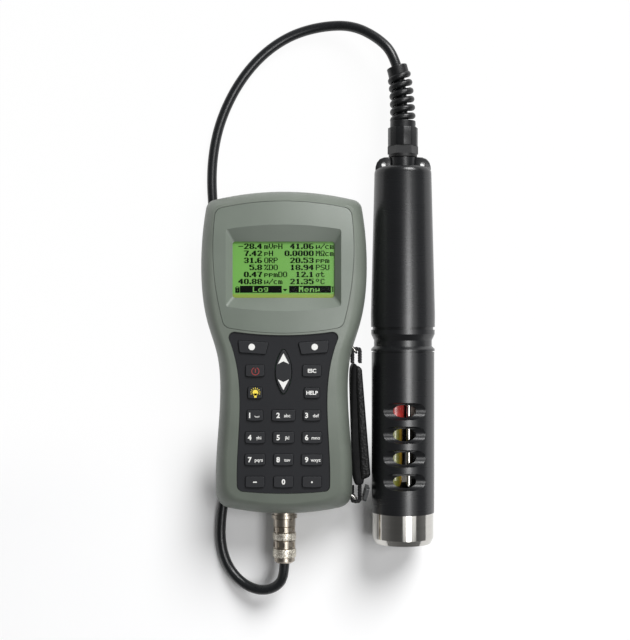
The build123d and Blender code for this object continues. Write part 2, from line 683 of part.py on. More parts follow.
def case_back():
    """Tapered lower shell with the battery bay, screw bosses and socket boss."""
    rest = back_section(BACK_SIDE_INSET, BACK_END_INSET, 0)
    outer = loft([rest, back_section(0, 0, PARTING_HEIGHT)], ruled=True)
    rest_edges = outer.edges().filter_by_position(Axis.Z, -HAIRLINE, HAIRLINE)
    outer = fillet(rest_edges, BACK_EDGE_RADIUS)
    rise = 1 - CASE_WALL / PARTING_HEIGHT
    side_inset = CASE_WALL + BACK_SIDE_INSET * rise
    end_inset = CASE_WALL + BACK_END_INSET * rise
    floor = back_section(side_inset, end_inset, CASE_WALL)
    hollow = loft([floor, back_section(CASE_WALL, CASE_WALL, PARTING_HEIGHT)], ruled=True)
    side_lap = COVER_SIDE_LAP + BAY_WALL
    end_lap = COVER_END_LAP + BAY_WALL
    filling = rounded_plate(side_lap, end_lap, COVER_CORNER_RADIUS, 0, PAD_TOP)
    filling += bay_block(BAY_WALL, 0, BAY_TOP + BAY_WALL)
    for x, y in both_sides(CASE_SCREWS):
        filling += post(BOSS_RADIUS, x, y, 0, PARTING_HEIGHT)
    for x, y in cover_screw_places():
        filling += post(BOSS_RADIUS, x, y, 0, PAD_TOP + COVER_SCREW_LENGTH)
    boss = Circle(SOCKET_BOSS_RADIUS)
    boss_end = SOCKET_SEAT + SOCKET_BOSS_LENGTH
    filling += bar_along_y(boss, boss_end - CASE_WALL, boss_end, 0, SOCKET_HEIGHT)
    shell = outer - (hollow - filling)
    shell += bar_along_y(boss, SOCKET_SEAT, boss_end, 0, SOCKET_HEIGHT)
    shell -= bay_block(0, CELL_BOTTOM - CASE_WALL, BAY_TOP)
    recess_corner = COVER_CORNER_RADIUS + SLIDING
    side_lap = COVER_SIDE_LAP + SLIDING
    end_lap = COVER_END_LAP + SLIDING
    shell -= rounded_plate(side_lap, end_lap, recess_corner, 0, COVER_LEDGE)
    for x, y in both_sides(CASE_SCREWS):
        shell -= post(SCREW_HEAD_RADIUS + SCREW_HOLE_GAP, x, y, 0, CASE_SCREW_SEAT)
        shell -= post(SCREW_RADIUS + SCREW_HOLE_GAP, x, y, 0, PARTING_HEIGHT)
    for x, y in cover_screw_places():
        shell -= post(SCREW_RADIUS + HAIRLINE, x, y, 0, COVER_SCREW_LENGTH + RUNNING)
    hole = Circle(SOCKET_TAIL_RADIUS + RUNNING)
    shell -= bar_along_y(hole, SOCKET_SEAT, boss_end, 0, SOCKET_HEIGHT)
    shell -= seal_ring(SEAL_DEPTH)
    for root, bar in ((UPPER_ANCHOR_ROOT, UPPER_ANCHOR_BAR), (LOWER_ANCHOR_ROOT, LOWER_ANCHOR_BAR)):
        shell -= anchor_hole(root, bar)
    return shell


def seal_ring(depth):
    """Ring below the parting plane, following the rim of the case."""
    low = PARTING_HEIGHT - depth
    outside = extrude(back_section(SEAL_INSET, SEAL_INSET, low), depth)
    inside_inset = SEAL_INSET + SEAL_WIDTH
    inside = extrude(back_section(inside_inset, inside_inset, low), depth)
    return outside - inside


def display_bezel():
    """Panel round the display, with a funnel down to the window."""
    panel = extrude(bezel_face(SLIDING, LEDGE_TOP), BEZEL_THICKNESS)
    return panel + funnel_solid(FUNNEL_WALL) - funnel_solid(0)


def display_window():
    """Clear pane under the funnel."""
    width = VIEW_WIDTH + 2 * WINDOW_MARGIN
    height = VIEW_HEIGHT + 2 * WINDOW_MARGIN
    pane = extrude(RectangleRounded(width, height, FUNNEL_CORNER_RADIUS), WINDOW_THICKNESS)
    return Pos(0, VIEW_STATION, WINDOW_BOTTOM) * pane


def lcd_module():
    """Graphic display under the window."""
    width = VIEW_WIDTH + 2 * DISPLAY_MARGIN
    height = VIEW_HEIGHT + 2 * DISPLAY_MARGIN
    body = extrude(Rectangle(width, height), DISPLAY_THICKNESS)
    return Pos(0, VIEW_STATION, DISPLAY_TOP - DISPLAY_THICKNESS) * body


def key_outline(width, depth):
    """Key with a straight top edge and a bowed foot edge."""
    outline = [
        Line((width / 2, depth / 2), (width / 2, -depth / 2)),
        ThreePointArc((width / 2, -depth / 2), (0, -depth / 2 - KEY_BOW), (-width / 2, -depth / 2)),
        Line((-width / 2, -depth / 2), (-width / 2, depth / 2)),
        Line((-width / 2, depth / 2), (width / 2, depth / 2)),
    ]
    return fillet(make_face(outline).vertices(), KEY_CORNER_RADIUS)


def soft_key_outline(side):
    """Tapered key under the display, tilted down towards the middle."""
    top = SOFT_KEY_TOP_WIDTH / 2
    foot = SOFT_KEY_FOOT_WIDTH / 2
    half = SOFT_KEY_DEPTH / 2
    points = [(-top, half), (top, half), (foot, -half), (-foot, -half)]
    face = fillet(make_face(Polyline(*points, close=True)).vertices(), KEY_CORNER_RADIUS)
    return Rot(0, 0, side * SOFT_KEY_TILT) * face


def arrow_outline():
    """Leaf-shaped rocker for the two arrow keys."""
    tip = ARROW_LENGTH / 2 + ARROW_TIP_RADIUS / 2
    half = ARROW_WIDTH / 2
    outline = [
        ThreePointArc((0, tip), (half, 0), (0, -tip)),
        ThreePointArc((0, -tip), (-half, 0), (0, tip)),
    ]
    return fillet(make_face(outline).vertices(), ARROW_TIP_RADIUS)


def key_layout():
    """Name, outline and place of every key that is pressed straight down."""
    keys = [
        ("soft_left", soft_key_outline(-1), -SOFT_KEY_COLUMN, SOFT_KEY_STATION),
        ("soft_right", soft_key_outline(1), SOFT_KEY_COLUMN, SOFT_KEY_STATION),
    ]
    for name, width, depth, side, row in COMMAND_KEYS:
        station = COMMAND_ROW_TOP - row * COMMAND_ROW_PITCH
        keys.append((name, key_outline(width, depth), side * KEY_COLUMN, station))
    for row, cells in enumerate(DIGIT_KEYS):
        station = DIGIT_ROW_TOP - row * DIGIT_ROW_PITCH
        for column, (name, width, depth) in enumerate(cells):
            keys.append((name, key_outline(width, depth), (column - 1) * KEY_COLUMN, station))
    return keys


def key(outline, x, y):
    """Key cap with its retaining flange under the mat."""
    cap = extrude(outline, KEY_TOP - KEY_BOTTOM)
    cap = fillet(cap.edges().group_by(Axis.Z)[-1], KEY_EDGE_RADIUS)
    flange = extrude(offset(outline, KEY_FLANGE), KEY_FLANGE_THICKNESS)
    return Pos(x, y, KEY_BOTTOM) * (cap + flange)


def key_arrows():
    """Rocker leaf with a trunnion across its middle."""
    leaf = extrude(arrow_outline(), KEY_TOP - KEY_BOTTOM)
    leaf = fillet(leaf.edges().group_by(Axis.Z)[-1], KEY_EDGE_RADIUS)
    reach = ARROW_WIDTH / 2 + TRUNNION_OVERHANG
    trunnion = Rot(0, 90, 0) * Cylinder(TRUNNION_RADIUS, 2 * reach)
    rocker = Pos(0, ARROW_STATION, KEY_BOTTOM) * leaf
    return rocker + Pos(0, ARROW_STATION, ARROW_AXIS_HEIGHT) * trunnion


def keypad_mat(keys):
    """Silicone mat on the ledge, pierced for every key."""
    mat = extrude(keypad_face(SLIDING, MAT_BOTTOM), MAT_THICKNESS)
    for _, outline, x, y in keys:
        mat -= Pos(x, y, MAT_BOTTOM) * extrude(offset(outline, KEY_GAP), MAT_THICKNESS)
    leaf = offset(arrow_outline(), ARROW_GAP)
    return mat - Pos(0, ARROW_STATION, MAT_BOTTOM) * extrude(leaf, MAT_THICKNESS)


def key_domes(keys):
    """Snap domes on the board, one under each key and two under the rocker."""
    places = [(x, y) for _, _, x, y in keys]
    places += [(0, ARROW_STATION + sign * ARROW_DOME_OFFSET) for sign in (1, -1)]
    return [post(DOME_RADIUS, x, y, BOARD_TOP, BOARD_TOP + DOME_HEIGHT) for x, y in places]


def main_board():
    """Circuit board against the ledge under the keypad."""
    half = WAIST_WIDTH / 2 - KEYPAD_WAIST_RIM + BOARD_MARGIN
    low = BOARD_TOP - BOARD_THICKNESS
    foot = KEYPAD_END_STATION - BOARD_END_LAP
    return block(-half, half, foot, KEYPAD_TOP_STATION - BOARD_TOP_GAP, low, BOARD_TOP)


def battery_cells():
    """Four cells, two in line in each of two columns."""
    cells = []
    body = CELL_LENGTH - CELL_NUB_LENGTH
    profile = [
        (0, 0),
        (CELL_DIAMETER / 2, 0),
        (CELL_DIAMETER / 2, body),
        (CELL_NUB_RADIUS, body),
        (CELL_NUB_RADIUS, CELL_LENGTH),
        (0, CELL_LENGTH),
    ]
    for side in (-1, 1):
        column = side * (CELL_DIAMETER + CELL_GAP) / 2
        for end in (-1, 0):
            start = BAY_STATION + end * (CELL_LENGTH + CELL_GAP / 2) + CELL_GAP / 4
            cells.append(Pos(0, start, 0) * turned(profile, column, CELL_HEIGHT))
    return cells


def battery_contacts():
    """Plate and cone spring at both ends of each column of cells."""
    contacts = []
    half_length = CELL_LENGTH + 0.5 * CELL_GAP + CONTACT_LENGTH
    reach = CONTACT_LENGTH - RUNNING
    radius = CELL_DIAMETER / 2 - CONTACT_MARGIN
    profile = [
        (0, 0),
        (radius, 0),
        (radius, CONTACT_PLATE),
        (SPRING_BASE_RADIUS, CONTACT_PLATE),
        (SPRING_TIP_RADIUS, reach),
        (0, reach),
    ]
    for side in (-1, 1):
        column = side * (CELL_DIAMETER + CELL_GAP) / 2
        for end in (-1, 1):
            turn = 0 if end < 0 else 180
            spring = Rot(0, 0, turn) * turned(profile)
            contacts.append(Pos(column, BAY_STATION + end * half_length, CELL_HEIGHT) * spring)
    return contacts


def battery_cover():
    """Flat cover over the cells, countersunk for its screws."""
    cover = rounded_plate(COVER_SIDE_LAP, COVER_END_LAP, COVER_CORNER_RADIUS, 0, COVER_THICKNESS)
    for x, y in cover_screw_places():
        cover -= post(SCREW_HEAD_RADIUS + SCREW_HOLE_GAP, x, y, 0, SCREW_HEAD_HEIGHT)
        cover -= post(SCREW_RADIUS + SCREW_HOLE_GAP, x, y, 0, COVER_THICKNESS)
    return cover


def battery_cover_gasket():
    """Flat seal between the cover and its ledge."""
    lap = COVER_SEAL_WIDTH
    ring = rounded_plate(lap, lap, COVER_CORNER_RADIUS, COVER_THICKNESS, COVER_LEDGE)
    return ring - bay_block(SLIDING, COVER_THICKNESS, COVER_LEDGE)


def probe_socket():
    """Panel socket: flange and barrel outside, threaded tail inside."""
    tail_end = SOCKET_SEAT + SOCKET_BOSS_LENGTH + SOCKET_NUT_THICKNESS + SOCKET_TAIL_OVERHANG
    bore = SOCKET_BARREL_RADIUS - SOCKET_BARREL_WALL
    base = SOCKET_FACE + SOCKET_FLANGE_LENGTH
    profile = [
        (0, base), (bore, base), (bore, BARREL_END), (SOCKET_BARREL_RADIUS, BARREL_END),
        (SOCKET_BARREL_RADIUS, SOCKET_FACE), (SOCKET_FLANGE_RADIUS, SOCKET_FACE),
        (SOCKET_FLANGE_RADIUS, base), (SOCKET_NECK_RADIUS, base), (SOCKET_NECK_RADIUS, SOCKET_SEAT),
        (SOCKET_TAIL_RADIUS, SOCKET_SEAT), (SOCKET_TAIL_RADIUS, tail_end), (0, tail_end),
    ]
    return turned(profile, 0, SOCKET_HEIGHT)


def socket_nut():
    """Hexagon nut that clamps the socket from inside."""
    start = SOCKET_SEAT + SOCKET_BOSS_LENGTH
    face = RegularPolygon(SOCKET_NUT_WIDTH / 2, 6, major_radius=False) - Circle(SOCKET_TAIL_RADIUS + HAIRLINE)
    return bar_along_y(face, start, start + SOCKET_NUT_THICKNESS, 0, SOCKET_HEIGHT)


def pin_places():
    """Contact pins: one in the middle and the rest on a circle."""
    places = [(0.0, 0.0)]
    for index in range(PIN_COUNT):
        angle = 2 * math.pi * index / PIN_COUNT
        places.append((PIN_CIRCLE_RADIUS * math.cos(angle), PIN_CIRCLE_RADIUS * math.sin(angle)))
    return places


def socket_contacts():
    """Insulator disc with the contact pins moulded in."""
    base = SOCKET_FACE + SOCKET_FLANGE_LENGTH
    bore = SOCKET_BARREL_RADIUS - SOCKET_BARREL_WALL - HAIRLINE
    contacts = bar_along_y(Circle(bore), SOCKET_FACE, base, 0, SOCKET_HEIGHT)
    for x, z in pin_places():
        contacts += bar_along_y(Circle(PIN_RADIUS), SOCKET_FACE - PIN_LENGTH, base, x, SOCKET_HEIGHT + z)
    return contacts


def plug_insert():
    """Insulator of the plug with a hole for every pin."""
    front = SOCKET_FACE - RUNNING
    radius = SOCKET_BARREL_RADIUS - SOCKET_BARREL_WALL - RUNNING
    insert = bar_along_y(Circle(radius), RING_END - RUNNING, front, 0, SOCKET_HEIGHT)
    for x, z in pin_places():
        hole_end = front - PIN_LENGTH - SLIDING
        insert -= bar_along_y(Circle(PIN_RADIUS + RUNNING), hole_end, front, x, SOCKET_HEIGHT + z)
    return insert


def plug_shell():
    """Metal body of the plug: sleeve inside the ring, collar behind it."""
    front = BARREL_END - SLIDING
    rear = RING_END - RUNNING
    bore = SOCKET_BARREL_RADIUS - SOCKET_BARREL_WALL - RUNNING + HAIRLINE
    profile = [
        (bore, front), (PLUG_SLEEVE_RADIUS, front), (PLUG_SLEEVE_RADIUS, rear), (PLUG_COLLAR_RADIUS, rear),
        (PLUG_COLLAR_RADIUS, COLLAR_END), (0, COLLAR_END), (0, rear), (bore, rear),
    ]
    return turned(profile, 0, SOCKET_HEIGHT)


def coupling_ring():
    """Turning ring that locks the plug on the socket."""
    grip_start = RING_START - RING_LENGTH
    grip = RegularPolygon(RING_RADIUS, RING_GRIP_SIDES)
    ring = bar_along_y(grip, grip_start, grip_start + RING_GRIP_LENGTH, 0, SOCKET_HEIGHT)
    waist_start = grip_start + RING_GRIP_LENGTH
    waist_end = waist_start + RING_WAIST_LENGTH
    ring += bar_along_y(Circle(RING_WAIST_RADIUS), waist_start, waist_end, 0, SOCKET_HEIGHT)
    ring += bar_along_y(Circle(RING_RADIUS), waist_end, RING_START, 0, SOCKET_HEIGHT)
    for index in range(RING_NOTCHES):
        notch = block(
            -RING_NOTCH_WIDTH / 2, RING_NOTCH_WIDTH / 2, waist_start, waist_end,
            RING_WAIST_RADIUS - RING_NOTCH_DEPTH, RING_RADIUS
        )
        ring -= Pos(0, 0, SOCKET_HEIGHT) * Rot(0, 360 * index / RING_NOTCHES, 0) * notch
    bore = Circle(SOCKET_BARREL_RADIUS + RUNNING)
    return ring - bar_along_y(bore, grip_start, RING_START, 0, SOCKET_HEIGHT)


def plug_back_nut():
    """Knurled nut that clamps the cord behind the plug."""
    grip_end = COLLAR_END - BACK_NUT_GRIP
    grip = RegularPolygon(BACK_NUT_RADIUS, RING_GRIP_SIDES)
    nut = bar_along_y(grip, grip_end, COLLAR_END, 0, SOCKET_HEIGHT)
    cone = [(0, grip_end), (PLUG_COLLAR_RADIUS, grip_end), (BACK_NUT_END_RADIUS, PLUG_END), (0, PLUG_END)]
    nut += turned(cone, 0, SOCKET_HEIGHT)
    entry = Circle(CORD_RADIUS + CORD_FIT)
    return nut - bar_along_y(entry, PLUG_END, PLUG_END + CORD_ENTRY, 0, SOCKET_HEIGHT)


def strap_side(station):
    """Inner face of the strap, clear of the flank of the case at a station."""
    if station > (WAIST_STATION + FOOT_STATION) / 2:
        return WAIST_WIDTH / 2 + 2 * STRAP_SIDE_GAP
    return FOOT_WIDTH / 2 + STRAP_SIDE_GAP


def hand_strap():
    """Padded strap standing on its edge, thicker towards the foot."""
    top_x = strap_side(STRAP_TOP_STATION)
    end_x = strap_side(STRAP_END_STATION)
    points = [
        (top_x, STRAP_TOP_STATION),
        (top_x + STRAP_TOP_THICKNESS, STRAP_TOP_STATION),
        (end_x + STRAP_END_THICKNESS, STRAP_END_STATION),
        (end_x + STRAP_TONGUE_THICKNESS, STRAP_TONGUE_STATION),
        (end_x, STRAP_TONGUE_STATION),
        (end_x, STRAP_END_STATION),
    ]
    strap = extrude(make_face(Polyline(*points, close=True)), STRAP_HIGH - STRAP_LOW)
    strap = fillet(strap.edges().filter_by(Axis.Z).sort_by(Axis.Y)[-2:], STRAP_EDGE_RADIUS)
    return Pos(0, 0, STRAP_LOW) * strap


def cord_hairpin(bar, end_station):
    """Cord doubled round the bar of a staple, with both ends at the strap."""
    radius = ANCHOR_WIRE_RADIUS + SLIDING + STRAP_CORD_RADIUS
    x, y = bar
    away = 1 if y > end_station else -1
    path = Curve() + [
        Line((x - radius, end_station), (x - radius, y)),
        ThreePointArc((x - radius, y), (x, y + away * radius), (x + radius, y)),
        Line((x + radius, y), (x + radius, end_station)),
    ]
    section = Plane(origin=path @ 0, z_dir=path % 0) * Circle(STRAP_CORD_RADIUS)
    return Pos(0, 0, STRAP_CORD_HEIGHT) * sweep(section, path=path)


def strap_slider():
    """Oblong slide on the tail of the strap."""
    frame = RectangleRounded(SLIDER_LENGTH, SLIDER_HEIGHT, SLIDER_CORNER_RADIUS)
    frame -= Rectangle(SLIDER_LENGTH - 2 * SLIDER_BAR, SLIDER_HEIGHT - 2 * SLIDER_BAR)
    plane = Plane(
        origin=(*SLIDER_CENTRE, STRAP_CORD_HEIGHT),
        x_dir=(math.cos(math.radians(SLIDER_ANGLE)), math.sin(math.radians(SLIDER_ANGLE)), 0),
        z_dir=(math.sin(math.radians(SLIDER_ANGLE)), -math.cos(math.radians(SLIDER_ANGLE)), 0),
    )
    return extrude(plane * frame, SLIDER_THICKNESS / 2, both=True)


def corner_radii(points):
    """Arc radius for each corner of a route, from its shorter run and its turn."""
    radii = []
    for before, corner, after in zip(points, points[1:], points[2:]):
        run_in = Vector(*corner) - Vector(*before)
        run_out = Vector(*after) - Vector(*corner)
        turn = math.radians(run_in.get_angle(run_out))
        radii.append(ARC_SHARE * min(run_in.length, run_out.length) / math.tan(turn / 2))
    return radii


def cord_path():
    """Centre line of the cord from the plug to the gland."""
    start = (0, PLUG_END + CORD_ENTRY, SOCKET_HEIGHT)
    end = (PROBE_COLUMN, SLEEVE_END, PROBE_HEIGHT)
    points = [start, *CORD_ROUTE, end]
    radii = corner_radii(points)
    print("cord radii", [round(radius, 1) for radius in radii])
    return FilletPolyline(*points, radius=radii)


def probe_cord(path):
    """Round cord along its route."""
    section = Plane(origin=path @ 0, z_dir=path % 0) * Circle(CORD_RADIUS)
    cord = sweep(section, path=path)
    print("cord volume", round(cord.volume), "of", round(path.length * math.pi * CORD_RADIUS**2))
    return cord


def gland_body():
    """Hexagon gland body with its sleeve inside the nut."""
    hexagon = RegularPolygon(GLAND_HEX_WIDTH / 2, 6, major_radius=False)
    body = bar_along_y(hexagon, GLAND_SEAT, NUT_START)
    body += bar_along_y(Circle(GLAND_SLEEVE_RADIUS), NUT_START, SLEEVE_END)
    return on_probe(body)


def gland_gasket():
    """Sealing washer under the gland."""
    return on_probe(bar_along_y(Circle(GASKET_RADIUS), HEAD_TOP_STATION, GLAND_SEAT))


def spiral_frame(path, distance):
    """Plane across the cord's path at a distance measured back from the gland."""
    share = 1 - distance / path.length
    along = path.tangent_at(share) * -1
    return Plane(origin=path.position_at(share), x_dir=along.cross(Vector(0, 0, 1)), z_dir=along)


def spiral_section(path, step, start):
    """Section of the spiral rib, square to its own lead."""
    turns = step / SPIRAL_STEPS
    frame = spiral_frame(path, start + turns * SPIRAL_PITCH)
    angle = 2 * math.pi * turns
    radius = CORD_RADIUS + SPIRAL_GAP + SPIRAL_RIB_DEPTH / 2
    radius += SPIRAL_TAPER * SPIRAL_PITCH * (SPIRAL_TURNS - turns)
    radial = frame.x_dir * math.cos(angle) + frame.y_dir * math.sin(angle)
    around = frame.y_dir * math.cos(angle) - frame.x_dir * math.sin(angle)
    lead = around * (2 * math.pi * radius) + frame.z_dir * SPIRAL_PITCH
    plane = Plane(origin=frame.origin + radial * radius, x_dir=radial, z_dir=lead)
    return plane * Rectangle(SPIRAL_RIB_DEPTH, SPIRAL_RIB_WIDTH)


def gland_spiral_nut(path):
    """Gland nut with the spiral bend relief moulded on it."""
    grip = RegularPolygon(NUT_GRIP_WIDTH / 2, NUT_GRIP_SIDES, major_radius=False)
    nut = bar_along_y(grip, NUT_START, NUT_DOME_START)
    rib_radius = CORD_RADIUS + SPIRAL_GAP + SPIRAL_RIB_DEPTH
    dome = [(0, NUT_DOME_START), (NUT_DOME_RADIUS, NUT_DOME_START), (rib_radius, NUT_END), (0, NUT_END)]
    nut += turned(dome)
    nut -= bar_along_y(Circle(GLAND_SLEEVE_RADIUS + RUNNING), NUT_START, SLEEVE_END + RUNNING)
    nut -= bar_along_y(Circle(CORD_RADIUS + SPIRAL_GAP), NUT_START, NUT_END)
    start = NUT_END - SLEEVE_END - NUT_WEB
    count = round(SPIRAL_TURNS * SPIRAL_STEPS)
    sections = [spiral_section(path, step, start) for step in range(count + 1)]
    spiral = loft(sections, ruled=True)
    collar_start = start + SPIRAL_TURNS * SPIRAL_PITCH - SPIRAL_RIB_WIDTH / 2
    frame = spiral_frame(path, collar_start)
    collar = Circle(CORD_RADIUS + SPIRAL_GAP + SPIRAL_COLLAR_WALL) - Circle(CORD_RADIUS + SPIRAL_GAP)
    return on_probe(nut) + spiral + extrude(frame * collar, SPIRAL_COLLAR_LENGTH)


def probe_head():
    """Top cap of the probe with two lifting ears."""
    top = BODY_TOP_STATION
    spigot = BODY_BORE_RADIUS - RUNNING
    profile = [
        (0, top - HEAD_SPIGOT_LENGTH), (spigot, top - HEAD_SPIGOT_LENGTH), (spigot, top),
        (BODY_TOP_RADIUS, top), (HEAD_SHOULDER_RADIUS, top + HEAD_SHOULDER_HEIGHT),
        (HEAD_NECK_RADIUS, top + HEAD_SHOULDER_HEIGHT), (HEAD_NECK_RADIUS, HEAD_TOP_STATION),
        (0, HEAD_TOP_STATION),
    ]
    head = turned(profile)
    for side in (-1, 1):
        x = side * EYELET_OFFSET
        web_end = EYELET_STATION + EAR_WEB_REACH
        head += extrude(Pos(x, EYELET_STATION) * Circle(EAR_RADIUS), EAR_THICKNESS / 2, both=True)
        head += block(min(0, x), max(0, x), top, web_end, -EAR_THICKNESS / 2, EAR_THICKNESS / 2)
    for side in (-1, 1):
        hole = Pos(side * EYELET_OFFSET, EYELET_STATION) * Circle(EYELET_RADIUS)
        head -= extrude(hole, 2 * BODY_TOP_RADIUS, both=True)
    return on_probe(head)


def probe_body():
    """Tapered tube that houses the probe electronics."""
    profile = [
        (BODY_BORE_RADIUS, BODY_FOOT_EDGE),
        (BODY_FOOT_RADIUS, BODY_FOOT_EDGE),
        (BODY_FOOT_RADIUS, BODY_NECK_LOW - (BODY_FOOT_RADIUS - BODY_NECK_RADIUS) / 2),
        (BODY_NECK_RADIUS, BODY_NECK_LOW + (BODY_FOOT_RADIUS - BODY_NECK_RADIUS) / 2),
        (BODY_NECK_RADIUS, BODY_NECK_HIGH),
        (BODY_FOOT_RADIUS, BODY_RING_LOW - HAIRLINE),
        (BODY_FOOT_RADIUS, BODY_RING_HIGH),
        (BODY_GROOVE_RADIUS, BODY_RING_HIGH),
        (BODY_GROOVE_RADIUS, BODY_GROOVE_HIGH),
        (BODY_WIDE_RADIUS - RUNNING, BODY_GROOVE_HIGH),
        (BODY_WIDE_RADIUS, BODY_WIDE_STATION),
        (BODY_TOP_RADIUS, BODY_TOP_STATION),
        (BODY_BORE_RADIUS, BODY_TOP_STATION),
    ]
    return on_probe(turned(profile))


def around_probe(angle, radius):
    """Place round the probe axis, as x and z offsets."""
    return radius * math.cos(math.radians(angle)), radius * math.sin(math.radians(angle))


def sensor_block():
    """Plug in the foot of the body that carries the sensors and the guard."""
    spigot = GUARD_RADIUS - GUARD_WALL - RUNNING
    plug = BODY_BORE_RADIUS - RUNNING
    groove_low = -SEAL_STATION - SEAL_RING_RADIUS
    groove_high = -SEAL_STATION + SEAL_RING_RADIUS
    groove = spigot - 2 * SEAL_RING_RADIUS
    profile = [
        (0, -BLOCK_SPIGOT_LENGTH), (spigot, -BLOCK_SPIGOT_LENGTH), (spigot, groove_low), (groove, groove_low),
        (groove, groove_high), (spigot, groove_high), (spigot, 0), (BLOCK_FLANGE_RADIUS, 0),
        (BLOCK_FLANGE_RADIUS, BODY_FOOT_EDGE), (plug, BODY_FOOT_EDGE), (plug, BLOCK_PLUG_LENGTH),
        (0, BLOCK_PLUG_LENGTH),
    ]
    carrier = turned(profile)
    for angle in (PH_ANGLE, OXYGEN_ANGLE, CONDUCTIVITY_ANGLE):
        x, z = around_probe(angle, SENSOR_CIRCLE_RADIUS)
        socket = Circle(SENSOR_STEM_RADIUS + RUNNING)
        carrier -= bar_along_y(socket, -BLOCK_SPIGOT_LENGTH, SENSOR_SOCKET_DEPTH - BLOCK_SPIGOT_LENGTH, x, z)
    x, z = around_probe(ROD_ANGLE, ROD_CIRCLE_RADIUS)
    hole = Circle(ROD_RADIUS + HAIRLINE)
    carrier -= bar_along_y(hole, -BLOCK_SPIGOT_LENGTH, SENSOR_SOCKET_DEPTH - BLOCK_SPIGOT_LENGTH, x, z)
    return on_probe(carrier)


def guard_seal():
    """O-ring on the spigot that the guard screws over."""
    radius = GUARD_RADIUS - GUARD_WALL - RUNNING - SEAL_RING_RADIUS
    section = Pos(radius, -SEAL_STATION) * Circle(SEAL_RING_RADIUS - HAIRLINE)
    return on_probe(revolve(section, Axis.Y))


def sensor(profile, angle):
    """Turned sensor with its stem in the block."""
    top = -BLOCK_SPIGOT_LENGTH
    stem_top = top + SENSOR_SOCKET_DEPTH - SLIDING
    stem = [(0, stem_top), (SENSOR_STEM_RADIUS, stem_top), (SENSOR_STEM_RADIUS, top)]
    x, z = around_probe(angle, SENSOR_CIRCLE_RADIUS)
    points = [*stem, (SENSOR_RADIUS, top), *profile]
    return on_probe(Pos(x, 0, z) * turned(points))


def ph_sensor():
    """Acidity sensor: wide collar, slim body and a rounded bulb."""
    shoulder = SENSOR_RADIUS - SENSOR_TIP_RADIUS
    profile = [
        (SENSOR_RADIUS, PH_COLLAR_END),
        (SENSOR_TIP_RADIUS, PH_COLLAR_END - shoulder),
        (SENSOR_TIP_RADIUS, PH_TIP + SENSOR_TIP_RADIUS),
        (PH_BULB_RADIUS, PH_TIP + PH_BULB_LENGTH),
        (0, PH_TIP),
    ]
    return sensor(profile, PH_ANGLE)


def do_sensor():
    """Dissolved oxygen sensor: conical cap over a shorter body."""
    profile = [
        (SENSOR_RADIUS, OXYGEN_CONE_END),
        (SENSOR_TIP_RADIUS, OXYGEN_CONE_END - SENSOR_RADIUS),
        (SENSOR_TIP_RADIUS, OXYGEN_TIP),
        (0, OXYGEN_TIP),
    ]
    return sensor(profile, OXYGEN_ANGLE)


def ec_sensor():
    """Conductivity sensor with a bored end cap."""
    profile = [
        (SENSOR_RADIUS, CONDUCTIVITY_CAP),
        (SENSOR_TIP_RADIUS, CONDUCTIVITY_CAP - CONDUCTIVITY_CHAMFER),
        (SENSOR_TIP_RADIUS, CONDUCTIVITY_TIP),
        (SENSOR_BORE_RADIUS, CONDUCTIVITY_TIP),
        (SENSOR_BORE_RADIUS, CONDUCTIVITY_TIP + SENSOR_BORE_DEPTH),
        (0, CONDUCTIVITY_TIP + SENSOR_BORE_DEPTH),
    ]
    return sensor(profile, CONDUCTIVITY_ANGLE)


def temperature_rod():
    """Thin steel rod of the temperature sensor."""
    x, z = around_probe(ROD_ANGLE, ROD_CIRCLE_RADIUS)
    top = SENSOR_SOCKET_DEPTH - BLOCK_SPIGOT_LENGTH - SLIDING
    profile = [(0, top), (ROD_RADIUS, top), (ROD_RADIUS, ROD_TIP + ROD_RADIUS), (0, ROD_TIP)]
    return on_probe(Pos(x, 0, z) * turned(profile))


def guard():
    """Sensor guard: tube with scooped slots in front and long windows behind."""
    bore = GUARD_RADIUS - GUARD_WALL
    tube = bar_along_y(Circle(GUARD_RADIUS) - Circle(bore), -GUARD_LENGTH, 0)
    for index in range(SLOT_COUNT):
        station = SLOT_FIRST_STATION - index * SLOT_PITCH
        scoop = Rot(0, 90, 0) * Cylinder(SLOT_RADIUS, 3 * GUARD_RADIUS)
        tube -= Pos(0, station, SLOT_CENTRE_HEIGHT) * scoop
    for angle in WINDOW_ANGLES:
        for station in WINDOW_STATIONS:
            face = SlotOverall(WINDOW_LENGTH, WINDOW_SLOT_WIDTH)
            plane = Plane(origin=(0, station, 0), x_dir=(0, 1, 0), z_dir=(1, 0, 0))
            window = extrude(plane * face, 2 * GUARD_RADIUS)
            tube -= Rot(0, -angle, 0) * window
    return on_probe(tube)


def guard_weight():
    """Steel weight ring in the foot of the guard."""
    start = -GUARD_LENGTH
    end = start - WEIGHT_LENGTH
    spigot = GUARD_RADIUS - GUARD_WALL - RUNNING
    profile = [
        (WEIGHT_BORE_RADIUS, start + WEIGHT_SPIGOT_LENGTH), (spigot, start + WEIGHT_SPIGOT_LENGTH),
        (spigot, start),
        (WEIGHT_RADIUS, start), (WEIGHT_RADIUS, end + WEIGHT_CHAMFER_LENGTH),
        (WEIGHT_RADIUS - WEIGHT_CHAMFER_DEPTH, end), (WEIGHT_BORE_RADIUS, end),
    ]
    return on_probe(turned(profile))


def save(name, shape):
    """Write one node; a list is a group of separate solids."""
    if isinstance(shape, list):
        shape = Compound(children=shape)
    export_step(shape, os.path.join("parts", name + ".step"))


